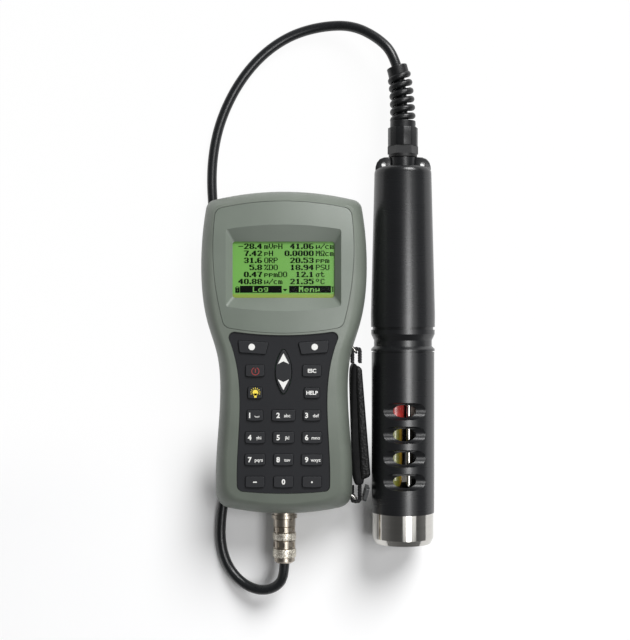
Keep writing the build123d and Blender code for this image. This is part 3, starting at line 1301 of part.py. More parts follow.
def main():
    """Build every piece and write one file for each."""
    os.makedirs("parts", exist_ok=True)
    keys = key_layout()
    path = cord_path()
    case_screw_head = CASE_SCREW_SEAT - SCREW_HEAD_HEIGHT
    save("case_front", case_front())
    save("case_back", case_back())
    save("case_gasket", seal_ring(SEAL_DEPTH))
    save("display_bezel", display_bezel())
    save("display_window", display_window())
    save("lcd_module", lcd_module())
    save("keypad_mat", keypad_mat(keys))
    save("main_board", main_board())
    save("key_domes", key_domes(keys))
    for name, outline, x, y in keys:
        save("key_" + name, key(outline, x, y))
    save("key_arrows", key_arrows())
    save("battery_cells", battery_cells())
    save("battery_contacts", battery_contacts())
    save("battery_cover", battery_cover())
    save("battery_cover_gasket", battery_cover_gasket())
    save("battery_cover_screws", [screw(x, y, 0, COVER_SCREW_LENGTH) for x, y in cover_screw_places()])
    save("case_screws", [screw(x, y, case_screw_head, CASE_SCREW_TIP) for x, y in both_sides(CASE_SCREWS)])
    save("probe_socket", probe_socket())
    save("socket_nut", socket_nut())
    save("socket_contacts", socket_contacts())
    save("strap_anchors", [
        anchor(UPPER_ANCHOR_ROOT, UPPER_ANCHOR_BAR),
        anchor(LOWER_ANCHOR_ROOT, LOWER_ANCHOR_BAR),
    ])
    save("hand_strap", hand_strap())
    save("strap_cord_upper", cord_hairpin(UPPER_ANCHOR_BAR, STRAP_TOP_STATION))
    save("strap_cord_lower", cord_hairpin(LOWER_ANCHOR_BAR, STRAP_TONGUE_STATION))
    save("strap_slider", strap_slider())
    save("plug_insert", plug_insert())
    save("plug_shell", plug_shell())
    save("coupling_ring", coupling_ring())
    save("plug_back_nut", plug_back_nut())
    save("probe_cord", probe_cord(path))
    save("gland_spiral_nut", gland_spiral_nut(path))
    save("gland_body", gland_body())
    save("gland_gasket", gland_gasket())
    save("probe_head", probe_head())
    save("probe_body", probe_body())
    save("sensor_block", sensor_block())
    save("guard_seal", guard_seal())
    save("ph_sensor", ph_sensor())
    save("do_sensor", do_sensor())
    save("ec_sensor", ec_sensor())
    save("temperature_rod", temperature_rod())
    save("guard", guard())
    save("guard_weight", guard_weight())


main()
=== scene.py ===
import json
import math

import bmesh
import bpy
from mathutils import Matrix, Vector


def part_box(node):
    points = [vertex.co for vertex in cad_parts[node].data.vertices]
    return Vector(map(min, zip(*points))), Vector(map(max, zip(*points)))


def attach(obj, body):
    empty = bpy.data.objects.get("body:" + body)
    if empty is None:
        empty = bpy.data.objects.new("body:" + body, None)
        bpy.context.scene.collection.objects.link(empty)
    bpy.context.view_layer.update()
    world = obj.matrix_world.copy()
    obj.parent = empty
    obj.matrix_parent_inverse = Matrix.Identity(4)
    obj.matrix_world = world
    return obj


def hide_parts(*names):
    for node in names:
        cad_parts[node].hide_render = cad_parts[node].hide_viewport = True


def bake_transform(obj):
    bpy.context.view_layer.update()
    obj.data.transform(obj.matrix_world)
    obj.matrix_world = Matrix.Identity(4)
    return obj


bl_info = {
    "name": "Multiparameter water quality meter",
    "version": (1, 0, 0),
    "blender": (4, 5, 0),
    "location": "View3D > Sidebar > Meter",
    "description": "Finishes and soft pieces of a handheld meter, its cord and its probe",
    "category": "Object",
}

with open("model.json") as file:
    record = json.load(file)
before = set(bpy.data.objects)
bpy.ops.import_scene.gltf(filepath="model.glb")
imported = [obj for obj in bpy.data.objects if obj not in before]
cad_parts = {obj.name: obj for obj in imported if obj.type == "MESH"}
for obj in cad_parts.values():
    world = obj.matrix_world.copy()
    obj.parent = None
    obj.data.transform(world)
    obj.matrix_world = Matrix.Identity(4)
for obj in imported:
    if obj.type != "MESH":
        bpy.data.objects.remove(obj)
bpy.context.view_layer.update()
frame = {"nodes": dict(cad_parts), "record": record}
NODES = frame["nodes"]
MM = 0.001

# Camera, which stands straight above the bench
CAMERA_PLACE = Vector((0.0215, 0.0225, 0.9))
VIEW_HEIGHT_ON_BENCH = 0.4617
SENSOR_SIZE = 36.0

# Light: a dark ceiling over a pale horizon, a soft key from the head's side, and two boxes to the right. The
# wide one gives the steel its white band, and the narrow one before it gives the plastic its highlight. A box
# has a name, a lean in degrees, its distance from the probe, its width and length in metres, and its radiance
WORLD_LEVELS = [(0.0, 0.22), (0.2, 0.2), (0.42, 0.15), (0.64, 0.1), (0.85, 0.08), (1.0, 0.08)]
KEY_DIRECTION = (0.5, 1.0, 0.88)
KEY_ANGLE = 30.0
KEY_STRENGTH = 3.0
LIGHT_BOXES = [
    ("wide_box", 21.0, 1.46, 1.36, 0.68, 1.15),
    ("narrow_box", 18.0, 1.4, 0.4, 0.66, 7.5),
]
BOX_MIDDLE = -0.06

# Bench, and the share of plain white that the camera sees in it, also in what mirrors it: a painted white glow
# that washes out the bench's shadows, none of it below the foot of the handset, and nearly all of it above the
# handset's lower keys
BENCH_SIZE = 6.0
BENCH_DROP = 0.5 * MM
BENCH_GLOW_SHARE = (0.0, 0.94)
BENCH_GLOW_SPAN = (-0.12, -0.045)

# Crown of the case's front: fall in metres for each square metre from its middle line
CROWN_ACROSS = 2.0
CROWN_ALONG = 1.6
CROWN_MIDDLE = 0.015

# Patterns of the finishes: the span in which most of a noise lies, and the size of a moulding's faint clouds
USUAL_SPAN = (0.3, 0.7)
CLOUD_SIZE = 22 * MM

# Places that come from the frame
LCD_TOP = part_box("lcd_module")[1].z
PROBE_LOW, PROBE_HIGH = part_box("probe_body")
PROBE_AXIS = Vector(((PROBE_LOW.x + PROBE_HIGH.x) / 2, 0, (PROBE_LOW.z + PROBE_HIGH.z) / 2))
PLUG_LOW, PLUG_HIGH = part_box("plug_back_nut")
PLUG_AXIS = Vector(((PLUG_LOW.x + PLUG_HIGH.x) / 2, 0, (PLUG_LOW.z + PLUG_HIGH.z) / 2))
RING_LOW, RING_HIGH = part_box("coupling_ring")

# Route of the cord from the plug to the gland, in metres
CORD_START = (0.0, -0.1455, 0.022)
CORD_END = (0.0833, 0.1585, 0.0225)
CORD_ROUTE = [
    (0.0, -0.157, 0.022),
    (-0.005, -0.1658, 0.0186),
    (-0.0162, -0.1702, 0.0134),
    (-0.029, -0.1668, 0.0084),
    (-0.04, -0.1564, 0.0046),
    (-0.0458, -0.141, 0.0035),
    (-0.0464, -0.1235, 0.0035),
    (-0.0428, -0.099, 0.0035),
    (-0.0412, -0.066, 0.0035),
    (-0.0403, -0.03, 0.0035),
    (-0.0428, 0.0, 0.0035),
    (-0.0503, 0.029, 0.0035),
    (-0.0526, 0.06, 0.0035),
    (-0.0512, 0.096, 0.0035),
    (-0.0532, 0.127, 0.0035),
    (-0.0498, 0.1545, 0.0035),
    (-0.0415, 0.178, 0.0035),
    (-0.0292, 0.1988, 0.0035),
    (-0.0134, 0.2158, 0.0035),
    (0.0054, 0.2276, 0.0038),
    (0.027, 0.2332, 0.0054),
    (0.0485, 0.2326, 0.0104),
    (0.0664, 0.2218, 0.0178),
    (0.077, 0.2092, 0.0225),
    (0.0833, 0.1832, 0.0225),
]
CORD_SIDES = 28
CURVE_STEPS = 12

# Display: foot and head of the lit screen, and the share of its height in which the painted yellow glow of the
# lamps fades
SCREEN_FOOT = 37.6 * MM
SCREEN_HEAD = 76.4 * MM
LAMP_GLOW = (0.055, 0.085)

# Dot matrix of the display: letters of five by seven dots, in text rows of nine. A dot is two cells across,
# and its dark runs on by one more cell, as a liquid crystal's does
DOT_COLUMNS = 128
DOT_ROWS = 64
DOT_PITCH = 0.537 * MM
DOT_CELLS = 2
DOT_LIFT = 0.02 * MM
MATRIX_TOP = 75.0 * MM
LETTER_WIDTH = 5
POINT_STEP = 3
ROW_DOTS = 9
LETTERS = {
    "0": ".###. #...# #...# #...# #...# #...# .###.",
    "1": "..#.. .##.. ..#.. ..#.. ..#.. ..#.. .###.",
    "2": ".###. #...# ....# ...#. ..#.. .#... #####",
    "3": ".###. #...# ....# ..##. ....# #...# .###.",
    "4": "...#. ..##. .#.#. #..#. ##### ...#. ...#.",
    "5": "##### #.... ####. ....# ....# #...# .###.",
    "6": ".###. #.... #.... ####. #...# #...# .###.",
    "7": "##### ....# ...#. ...#. ..#.. ..#.. ..#..",
    "8": ".###. #...# #...# .###. #...# #...# .###.",
    "9": ".###. #...# #...# .#### ....# ....# .###.",
    "-": "..... ..... ..... ##### ..... ..... .....",
    "/": "....# ....# ...#. ..#.. .#... #.... #....",
    "%": "##..# ##.#. ...#. ..#.. .#... .#.## #..##",
    "C": ".###. #...# #.... #.... #.... #...# .###.",
    "D": "####. #...# #...# #...# #...# #...# ####.",
    "H": "#...# #...# #...# ##### #...# #...# #...#",
    "L": "#.... #.... #.... #.... #.... #.... #####",
    "M": "#...# ##.## #.#.# #.#.# #...# #...# #...#",
    "O": ".###. #...# #...# #...# #...# #...# .###.",
    "P": "####. #...# #...# ####. #.... #.... #....",
    "R": "####. #...# #...# ####. #.#.. #..#. #...#",
    "S": ".#### #.... #.... .###. ....# ....# ####.",
    "U": "#...# #...# #...# #...# #...# #...# .###.",
    "V": "#...# #...# #...# #...# #...# .#.#. ..#..",
    "W": ".###. #...# #...# #...# .#.#. .#.#. ##.##",
    "*": ".##.. #..#. #..#. .##.. ..... ..... .....",
    "c": "..... ..... .###. #.... #.... #.... .###.",
    "e": "..... ..... .###. #...# ##### #.... .###.",
    "g": "..... .#### #...# #...# .#### ....# .###.",
    "m": "..... ..... ##.#. #.#.# #.#.# #.#.# #.#.#",
    "n": "..... ..... #.##. ##..# #...# #...# #...#",
    "o": "..... ..... .###. #...# #...# #...# .###.",
    "p": "..... ..... ####. #...# ####. #.... #....",
    "s": "..... ..... .#### #..#. #..#. #..#. .##..",
    "t": ".#... .#... ####. .#... .#... .#..# ..##.",
    "u": "..... ..... #...# #...# #..## ###.# #....",
}
READINGS = [
    (("-28.4", "mVpH"), ("41.06", "u/cm")),
    (("7.42", "pH"), ("0.0000", "MWcm")),
    (("31.6", "ORP"), ("20.53", "ppm")),
    (("5.8", "%DO"), ("18.94", "PSU")),
    (("0.47", "ppmDO"), ("12.1", "st")),
    (("40.88", "u/cm"), ("21.35", "*C")),
]
VALUE_END_COLUMNS = (37, 103)
SOFT_LABELS = [("Log", 8, 61), ("Menu", 71, 124)]
BAR_ROWS = (54, 63)

# Signs in the display's last row, as columns and rows of dots: a lock, an arrow that points down, and a gauge
LOCK_BODY = ((2, 7), (57, 63))
LOCK_SHACKLE = {(2, 56), (3, 55), (4, 55), (5, 55), (6, 56)}
LOCK_HOLE = {(4, 59), (4, 60)}
ARROW_COLUMNS = (63, 68)
ARROW_TOP = 58
ARROW_ROWS = 3
GAUGE_HEAD = ((125, 128), (55, 56))
GAUGE_STEM = ((126, 127), (56, 62))

# Ink of the keypad, and its letters: heights, boldness and offsets from the key's middle, all in mm
INK_LIFT = 0.03 * MM
INK_THICKNESS = 0.04 * MM
DIGIT_HEIGHT = 3.5
DIGIT_BOLD = 0.16
DIGIT_SHIFT = -3.6
GROUP_HEIGHT = 2.35
GROUP_BOLD = 0.04
GROUP_SHIFT = (2.6, -0.1)
WORD_HEIGHT = 2.6
WORD_BOLD = 0.12
DIGIT_LETTERS = {
    "0": "", "1": "", "2": "abc", "3": "def", "4": "ghi", "5": "jkl", "6": "mno", "7": "pqrs", "8": "tuv",
    "9": "wxyz",
}
CAPITAL_SHARE = 0.73
LETTER_MERGE = 0.002 * MM

# Signs of the keypad, in mm about the key's middle; a bar has a width, a height and its place
SOFT_DOT_RADIUS = 2.2
SOFT_DOT_PLACES = {"key_soft_left": (-1.0, 0.3), "key_soft_right": (0.7, 0.3)}
POWER_RING = (2.75, 2.2, -250, 70)
POWER_RING_PLACE = (0.3, -0.2)
POWER_STROKE = (0.6, 2.7, 0.3, 0.2)
BULB_RADIUS = 1.9
BULB_MIDDLE = (0.3, 0.4)
BULB_BASE = [(1.7, 2.2, 0.3, -2.0), (2.5, 1.4, 0.3, -1.0)]
RAY_COUNT = 9
RAY_START = -20
RAY_SPAN = 220
RAY_REACH = 2.95
RAY_SIZE = (0.9, 0.42)
SPACE_BARS = [(3.2, 0.45, 1.4, -0.9), (0.45, 1.0, 0.0, -0.6), (0.45, 1.0, 2.8, -0.6)]
MINUS_BAR = (2.6, 0.75)
POINT_RADIUS = 0.6
CHEVRON = [(0, 3.9), (-3.8, -3.4), (0, -1.5), (3.8, -3.4)]
CHEVRON_OFFSET = 8.6

# Plug: grip and waist of the ring, sleeve, nut, knurl and windows. Points of a turned piece that lie nearer
# than the merge are one, and a radius within the slack counts as the knurled band
PLUG_EDGE = 0.35 * MM
RING_GRIP = 5.6 * MM
RING_WAIST = 4.0 * MM
RING_BORE = 6.3 * MM
RING_GAP = 0.1 * MM
SLEEVE_RADIUS = 6.0 * MM
SLEEVE_BORE = 5.0 * MM
NUT_GRIP = 6.4 * MM
NUT_LIP_RADIUS = 7.3 * MM
NUT_LIP_LENGTH = 1.2 * MM
NUT_LIP_CHAMFER = 1.4 * MM
NUT_MOUTH_DEPTH = 2.4 * MM
CORD_GAP = 0.1 * MM
KNURL_POINTS = 48
KNURL_ROWS = 6
WINDOW_COUNT = 6
WINDOW_START = 47.0
WINDOW_WIDTH = 4.8 * MM
WINDOW_DEPTH = 0.9 * MM
TURNED_MERGE = 0.001 * MM
RADIUS_SLACK = 0.01 * MM

# Gland nut, whose dome starts a little inside its grip, and spiral bend relief, which leaves a gap round the
# cord and whose radius grows by the taper for each metre nearer to the nut
GLAND_HEX_LENGTH = 5.6 * MM
NUT_SIDES = 12
NUT_GRIP_RADIUS = 10.2 * MM
NUT_GRIP_LENGTH = 13.0 * MM
NUT_GRIP_EDGE = 0.5 * MM
NUT_SHOULDER_RADIUS = 8.9 * MM
NUT_DOME_LENGTH = 4.8 * MM
DOME_SUNK = 1.0 * MM
DOME_STEPS = 6
SPIRAL_PITCH = 5.7 * MM
SPIRAL_TURNS = 6.3
SPIRAL_START = 1.8 * MM
SPIRAL_GAP = 0.2 * MM
SPIRAL_TAPER = 0.02
HELIX_STEPS = 32
COLLAR_LENGTH = 7.1 * MM
COLLAR_WALL = 3.6 * MM
COLLAR_EDGE = 0.6 * MM
COLLAR_STEPS = 6

# Sensors: the station below their bands, the lower end of the red collar, and the colours across the amber
# body from its left side, each with its share of the width: a painted highlight near the left and painted
# shade towards the right
SENSOR_FOOT = -110.0
RED_COLLAR_END = -48.5 * MM
AMBER_PAINTED_LIGHT_ACROSS = [
    (0.2, "#8E9A5A"), (0.42, "#C4C993"), (0.58, "#8F8F3C"), (0.7, "#6B6A24"), (0.8, "#9A7B2C"),
    (0.95, "#4A3F12"),
]

# Head of the probe, as radii and stations in mm, and the outline of an ear at one side of its axis
HEAD_PROFILE = [
    (20.0, 125.2), (19.9, 126.4), (19.2, 128.0), (18.2, 129.0), (17.0, 129.4), (10.2, 129.4), (9.4, 130.2),
    (9.4, 136.3), (8.9, 136.8),
]
EAR_OUTLINE = [
    (8.6, 127.6), (19.4, 127.6), (19.2, 130.4), (18.4, 132.9), (16.4, 135.3), (13.4, 136.5), (8.6, 136.7),
]
EAR_HALF = 3.5 * MM
EAR_EDGE = 0.5 * MM
EYELET_RADIUS = 1.6 * MM
EYELET_CUT = 30.0 * MM

# Strap: the pad starts smaller than its solid by the slack, because it swells, and leans out towards its foot.
# The panel's inner side lies at a share of the pad's thickness, and its corners at their own stations
STRAP_SLACK = 0.6 * MM
STRAP_LEAN = 2.5 * MM
STRAP_TOP = 8.4 * MM
STRAP_END = 12.0 * MM
PAD_TOP = 4.6 * MM
PAD_END = 6.4 * MM
TONGUE_LENGTH = 5.5 * MM
PAD_VOXEL = 2.0 * MM
PAD_PRESSURE = 4.0
PAD_MASS = 0.001
PAD_SWELL = 1.0 * MM
SWELL_FRAMES = 20
PANEL_SUNK = 0.7
PANEL_TOP_DROPS = (1.5 * MM, 2.5 * MM)
PANEL_END_RISE = 2.0 * MM
PANEL_END_DROP = 1.0 * MM
PANEL_EDGE = 2.0 * MM

# Lacing of the strap, laid from strands
LACE_RADIUS = 1.5 * MM
LACE_STRANDS = 3
LACE_TWIST = 5.5 * MM
STRAND_SIDES = 10


def linear(code):
    """Linear colour with full alpha from an sRGB hex value."""
    values = [int(code[index:index + 2], 16) / 255 for index in (1, 3, 5)]
    return tuple(v / 12.92 if v <= 0.04045 else ((v + 0.055) / 1.055) ** 2.4 for v in values) + (1.0,)


def colour_property(label, words, code):
    """Colour that a user may change, with its default as sRGB hex."""
    return bpy.props.FloatVectorProperty(
        name=label, description=words, subtype="COLOR", size=4, min=0.0, max=1.0, default=linear(code)
    )


def length_property(label, words, value):
    """Length in metres that a user may change."""
    return bpy.props.FloatProperty(
        name=label, description=words, default=value, min=0.0, soft_max=1.0, precision=5, unit="LENGTH"
    )


class MeterColours(bpy.types.PropertyGroup):
    """Colours of the meter's finishes."""

    case: colour_property("Case", "Grey-green of the moulded case", "#71786F")
    bezel: colour_property("Bezel", "Paler grey-green of the panel round the display", "#717970")
    keypad: colour_property("Keypad", "Charcoal of the silicone keypad", "#1E1F22")
    key: colour_property("Key", "Charcoal of the key caps", "#212225")
    # The screen's green has the backlight's glow painted in, and its foot has a painted yellow glow of the
    # lamps under it
    screen: colour_property("Screen", "Green of the lit display", "#78B854")
    screen_lamp_glow: colour_property("Screen foot", "Yellower green along the foot of the display", "#92AB46")
    dots: colour_property("Dots", "Dark green of the dots that are on", "#050B05")
    ink: colour_property("Ink", "White of the printed legends", "#E9E9E6")
    power: colour_property("Power ink", "Red of the power symbol", "#8F2C2A")
    lamp: colour_property("Lamp ink", "Yellow of the lamp symbol", "#F4DC4A")
    probe: colour_property("Probe", "Black of the probe housing", "#17181A")
    cord: colour_property("Cord", "Black of the cord's jacket", "#191B1D")
    strap: colour_property("Strap", "Black of the padded strap", "#080809")


class MeterSizes(bpy.types.PropertyGroup):
    """Sizes of the pieces that are made here."""

    cord_diameter: length_property("Cord diameter", "Diameter of the cord's jacket", 7.0 * MM)
    knurl_depth: length_property("Knurl depth", "Height of the knurl's points on the plug", 0.32 * MM)
    rib_width: length_property("Rib width", "Thickness of the spiral's rounded rib", 4.7 * MM)
    ink_height: length_property("Ink height", "Thickness of the printed legends", INK_THICKNESS)


def colours():
    """The scene's colour settings."""
    return bpy.context.scene.meter_colours


def sizes():
    """The scene's size settings."""
    return bpy.context.scene.meter_sizes


def add_node(tree, kind, inputs=None, stops=(), **settings):
    """Add a shader node with its settings, set or link its inputs, and give a colour ramp its stops."""
    node = tree.nodes.new(kind)
    for name, value in settings.items():
        setattr(node, name, value)
    for socket, value in (inputs or {}).items():
        if isinstance(value, bpy.types.NodeSocket):
            tree.links.new(value, node.inputs[socket])
        else:
            node.inputs[socket].default_value = value
    if stops:
        elements = node.color_ramp.elements
        for element, (position, colour) in zip(elements, (stops[0], stops[-1])):
            element.position = position
            element.color = colour
        for position, colour in stops[1:-1]:
            elements.new(position).color = colour
    return node


def new_finish(name, **sockets):
    """Material with one shader; returns it with its tree, shader and Object coordinates."""
    material = bpy.data.materials.new(name)
    material.use_nodes = True
    tree = material.node_tree
    tree.nodes.clear()
    settings = {key.replace("_", " "): value for key, value in sockets.items()}
    shader = add_node(tree, "ShaderNodeBsdfPrincipled", settings)
    add_node(tree, "ShaderNodeOutputMaterial", {"Surface": shader.outputs["BSDF"]})
    place = add_node(tree, "ShaderNodeTexCoord")
    return material, tree, shader, place.outputs["Object"]


def pattern_at(tree, place, size, stretch=(1, 1, 1), detail=3.0, cells=False):
    """Random pattern whose clouds, or cells, are about size metres across, stretched along the axes."""
    scale = tuple(1 / (size * factor) for factor in stretch)
    mapping = add_node(tree, "ShaderNodeMapping", {"Vector": place, "Scale": scale})
    inputs = {"Vector": mapping.outputs["Vector"], "Scale": 1.0}
    if cells:
        return add_node(tree, "ShaderNodeTexVoronoi", inputs).outputs["Distance"]
    inputs["Detail"] = detail
    return add_node(tree, "ShaderNodeTexNoise", inputs).outputs["Fac"]


def tint_by(tree, shader, pattern, span, first, second):
    """Colour the surface from first to second as a pattern goes through a span."""
    tint = add_node(tree, "ShaderNodeValToRGB", {"Fac": pattern}, stops=[(span[0], first), (span[1], second)])
    tree.links.new(tint.outputs["Color"], shader.inputs["Base Color"])


def roughen_by(tree, shader, pattern, low, high):
    """Let the surface's roughness go from low to high over a pattern's usual span."""
    inputs = {
        "Value": pattern, "From Min": USUAL_SPAN[0], "From Max": USUAL_SPAN[1], "To Min": low, "To Max": high,
    }
    spread = add_node(tree, "ShaderNodeMapRange", inputs)
    tree.links.new(spread.outputs["Result"], shader.inputs["Roughness"])


def raise_by(tree, shader, pattern, strength, distance):
    """Raise the surface by a pattern, and return what adds the relief."""
    bump = add_node(tree, "ShaderNodeBump", {"Height": pattern, "Strength": strength, "Distance": distance})
    tree.links.new(bump.outputs["Normal"], shader.inputs["Normal"])
    return bump


def shade_of(colour, share):
    """Colour made darker or paler by a share of itself."""
    return tuple(min(1.0, value * share) for value in colour[:3]) + (1.0,)


def crown_height(tree, place):
    """Height of the gentle crown that the moulding gives the front of the case."""
    axes = add_node(tree, "ShaderNodeSeparateXYZ", {"Vector": place}).outputs
    shift = add_node(tree, "ShaderNodeMath", {0: axes["Y"], 1: CROWN_MIDDLE}, operation="SUBTRACT")
    height = 0.0
    for offset, fall in ((axes["X"], CROWN_ACROSS), (shift.outputs[0], CROWN_ALONG)):
        square = add_node(tree, "ShaderNodeMath", {0: offset, 1: offset}, operation="MULTIPLY")
        inputs = {0: square.outputs[0], 1: -fall, 2: height}
        height = add_node(tree, "ShaderNodeMath", inputs, operation="MULTIPLY_ADD").outputs[0]
    return height


def moulded(name, colour, roughness, grain, grain_depth, cloud=0.05, crowned=False, gloss=0.5):
    """Injection-moulded plastic or rubber: spark-eroded grain and faint clouding."""
    material, tree, shader, place = new_finish(name, IOR=1.5, Specular_IOR_Level=gloss)
    broad = pattern_at(tree, place, CLOUD_SIZE, detail=2.0)
    tint_by(tree, shader, broad, (0.35, 0.65), shade_of(colour, 1 - cloud), shade_of(colour, 1 + cloud))
    fine = pattern_at(tree, place, grain)
    roughen_by(tree, shader, fine, roughness - 0.06, roughness + 0.06)
    bump = raise_by(tree, shader, fine, 0.35, grain_depth)
    if crowned:
        crown = add_node(tree, "ShaderNodeBump", {"Height": crown_height(tree, place), "Distance": 1.0})
        tree.links.new(crown.outputs["Normal"], bump.inputs["Normal"])
    return material


def turned_metal(name, colour, roughness, line, stretch, depth):
    """Machined metal: fine lines that run round the turned surface."""
    material, tree, shader, place = new_finish(name, Metallic=1.0)
    lines = pattern_at(tree, place, line, stretch, detail=2.0)
    tint_by(tree, shader, lines, (0.3, 0.7), shade_of(colour, 0.95), shade_of(colour, 1.04))
    roughen_by(tree, shader, lines, roughness - 0.02, roughness + 0.03)
    raise_by(tree, shader, lines, 0.25, depth)
    return material


def abs_case():
    """Moulded ABS: an even satin grain that softens the lights on the crown."""
    return moulded("moulded_ABS_case", colours().case, 0.46, 0.9 * MM, 0.03 * MM, crowned=True)


def abs_bezel():
    """Moulded ABS of the bezel: a little smoother than the case, so its edges catch more light."""
    return moulded("moulded_ABS_bezel", colours().bezel, 0.42, 0.8 * MM, 0.02 * MM, cloud=0.03, crowned=True)


def silicone_mat():
    """Moulded silicone: matt, with a soft sheen."""
    return moulded("silicone_keypad", colours().keypad, 0.6, 0.8 * MM, 0.02 * MM, gloss=0.25)


def silicone_key():
    """Moulded silicone caps, a little smoother from use."""
    return moulded("silicone_keys", colours().key, 0.52, 0.8 * MM, 0.02 * MM, gloss=0.3)


def printed_ink(name, colour):
    """Screen-printed ink: matt, with a faint break-up of the film."""
    material, tree, shader, place = new_finish(name, Roughness=0.55)
    film = pattern_at(tree, place, 0.6 * MM)
    tint_by(tree, shader, film, (0.25, 0.5), shade_of(colour, 0.88), colour)
    return material


def acrylic_window():
    """Clear cast acrylic: nearly invisible but for its surface gloss."""
    material, tree, shader, place = new_finish(
        "clear_acrylic", Base_Color=linear("#1A1D1A"), Alpha=0.07, IOR=1.49
    )
    wiped = pattern_at(tree, place, 9 * MM, (3, 0.4, 1))
    roughen_by(tree, shader, wiped, 0.03, 0.12)
    return material


def lit_screen():
    """Backlit liquid crystal as a plain surface: green with the backlight's glow painted in, a painted yellow
    glow of the lamps along its foot, and a little darker at its head.
    """
    material, tree, shader, place = new_finish("backlit_liquid_crystal", Roughness=0.35)
    axes = add_node(tree, "ShaderNodeSeparateXYZ", {"Vector": place})
    inputs = {"Value": axes.outputs["Y"], "From Min": SCREEN_FOOT, "From Max": SCREEN_HEAD}
    rise = add_node(tree, "ShaderNodeMapRange", inputs)
    foot, green = colours().screen_lamp_glow, colours().screen
    head = shade_of(green, 0.95)
    # Painted yellow glow of the lamps at the foot, green with the painted backlight above it, and a little
    # darker at the head
    stops = [(0.0, foot), (LAMP_GLOW[0], foot), (LAMP_GLOW[1], green), (0.6, green), (1.0, head)]
    ramp = add_node(tree, "ShaderNodeValToRGB", {"Fac": rise.outputs["Result"]}, stops=stops)
    tree.links.new(ramp.outputs["Color"], shader.inputs["Base Color"])
    return material


def lit_dots():
    """Dots of the liquid crystal that are on: flat, and a little uneven from cell to cell."""
    material, tree, shader, place = new_finish("liquid_crystal_dots", Roughness=0.7, Specular_IOR_Level=0.05)
    cell = pattern_at(tree, place, 1.1 * MM)
    tint_by(tree, shader, cell, (0.3, 0.7), colours().dots, shade_of(colours().dots, 1.5))
    return material


def board_laminate():
    """Glass-epoxy board under green solder mask: smooth, with a dull gloss."""
    return moulded("glass_epoxy_board", linear("#1F5A34"), 0.35, 0.5 * MM, 0.01 * MM)


def stainless():
    """Turned stainless steel: bright, with fine lines round it that draw the lights out."""
    return turned_metal("turned_stainless_steel", linear("#CBC9C4"), 0.11, 0.5 * MM, (60, 1, 60), 0.001 * MM)


def nickel():
    """Turned nickel plate: warm and smooth, with soft handling marks."""
    material, tree, shader, place = new_finish("nickel_plated_brass", Metallic=1.0)
    mottle = pattern_at(tree, place, 2.5 * MM)
    tint_by(tree, shader, mottle, (0.3, 0.7), linear("#A49B8E"), linear("#B8B0A4"))
    roughen_by(tree, shader, mottle, 0.36, 0.28)
    return material


def knurled_nickel_with_glints():
    """Knurled nickel plate, paler than the turned bands: its speckle of pale spots is painted glints of its
    many points, which scatter the light.
    """
    material, tree, shader, place = new_finish("knurled_nickel_plate_with_painted_glints", Metallic=0.75)
    mottle = pattern_at(tree, place, 0.9 * MM)
    # Pale speckles: painted glints of the knurl's points
    tint_by(tree, shader, mottle, (0.38, 0.6), linear("#A09889"), linear("#F8F3E6"))
    roughen_by(tree, shader, mottle, 0.34, 0.46)
    return material


def brass():
    """Sprung brass of the battery contacts: warm yellow, lightly rolled."""
    return turned_metal("sprung_brass", linear("#C9B274"), 0.3, 0.4 * MM, (4, 1, 4), 0.004 * MM)


def cell_jacket():
    """Shrink-wrapped film of the cells: tight, smooth and dull gold."""
    return moulded("cell_jacket", linear("#8A7440"), 0.3, 1.2 * MM, 0.01 * MM)


def cord_jacket():
    """Extruded polyurethane jacket: satin, with faint scuffs along the run."""
    return moulded("extruded_polyurethane_cord", colours().cord, 0.32, 1.4 * MM, 0.012 * MM, cloud=0.14)


def gland_nylon():
    """Moulded nylon of the gland and its bend relief: satin black with a slight cloud."""
    return moulded("moulded_nylon_gland", linear("#121315"), 0.38, 0.9 * MM, 0.02 * MM, cloud=0.1)


def probe_plastic():
    """Turned PVC of the probe: satin black with faint lines round it."""
    material, tree, shader, place = new_finish("turned_PVC_probe", IOR=1.58)
    lines = pattern_at(tree, place, 0.8 * MM, (40, 1, 40), detail=2.0)
    broad = pattern_at(tree, place, 30 * MM)
    black = colours().probe
    tint_by(tree, shader, broad, (0.35, 0.65), shade_of(black, 0.9), shade_of(black, 1.12))
    roughen_by(tree, shader, lines, 0.27, 0.3)
    raise_by(tree, shader, lines, 0.05, 0.0008 * MM)
    return material


def seal_rubber():
    """Moulded nitrile of the seals: matt black."""
    return moulded("moulded_nitrile_seal", linear("#121213"), 0.5, 0.6 * MM, 0.01 * MM)


def black_insulator():
    """Moulded insulator of the contacts: plain black with a soft shine."""
    return moulded("moulded_insulator", linear("#151515"), 0.45, 0.5 * MM, 0.01 * MM)


def banded_sensor(name, foot, code, station, head_code):
    """Sensor body whose moulded sections change colour at a station along the probe: scuffed satin."""
    material, tree, shader, place = new_finish(name, IOR=1.5, Transmission_Weight=0.0)
    axes = add_node(tree, "ShaderNodeSeparateXYZ", {"Vector": place})
    span = add_node(
        tree, "ShaderNodeMapRange", {"Value": axes.outputs["Y"], "From Min": foot * MM, "From Max": 0.0}
    )
    stops = [(0.0, linear(code)), (1 - station / foot, linear(head_code))]
    ramp = add_node(tree, "ShaderNodeValToRGB", {"Fac": span.outputs["Result"]}, stops=stops)
    ramp.color_ramp.interpolation = "CONSTANT"
    tree.links.new(ramp.outputs["Color"], shader.inputs["Base Color"])
    scuffs = pattern_at(tree, place, 1.5 * MM)
    roughen_by(tree, shader, scuffs, 0.25, 0.35)
    return material


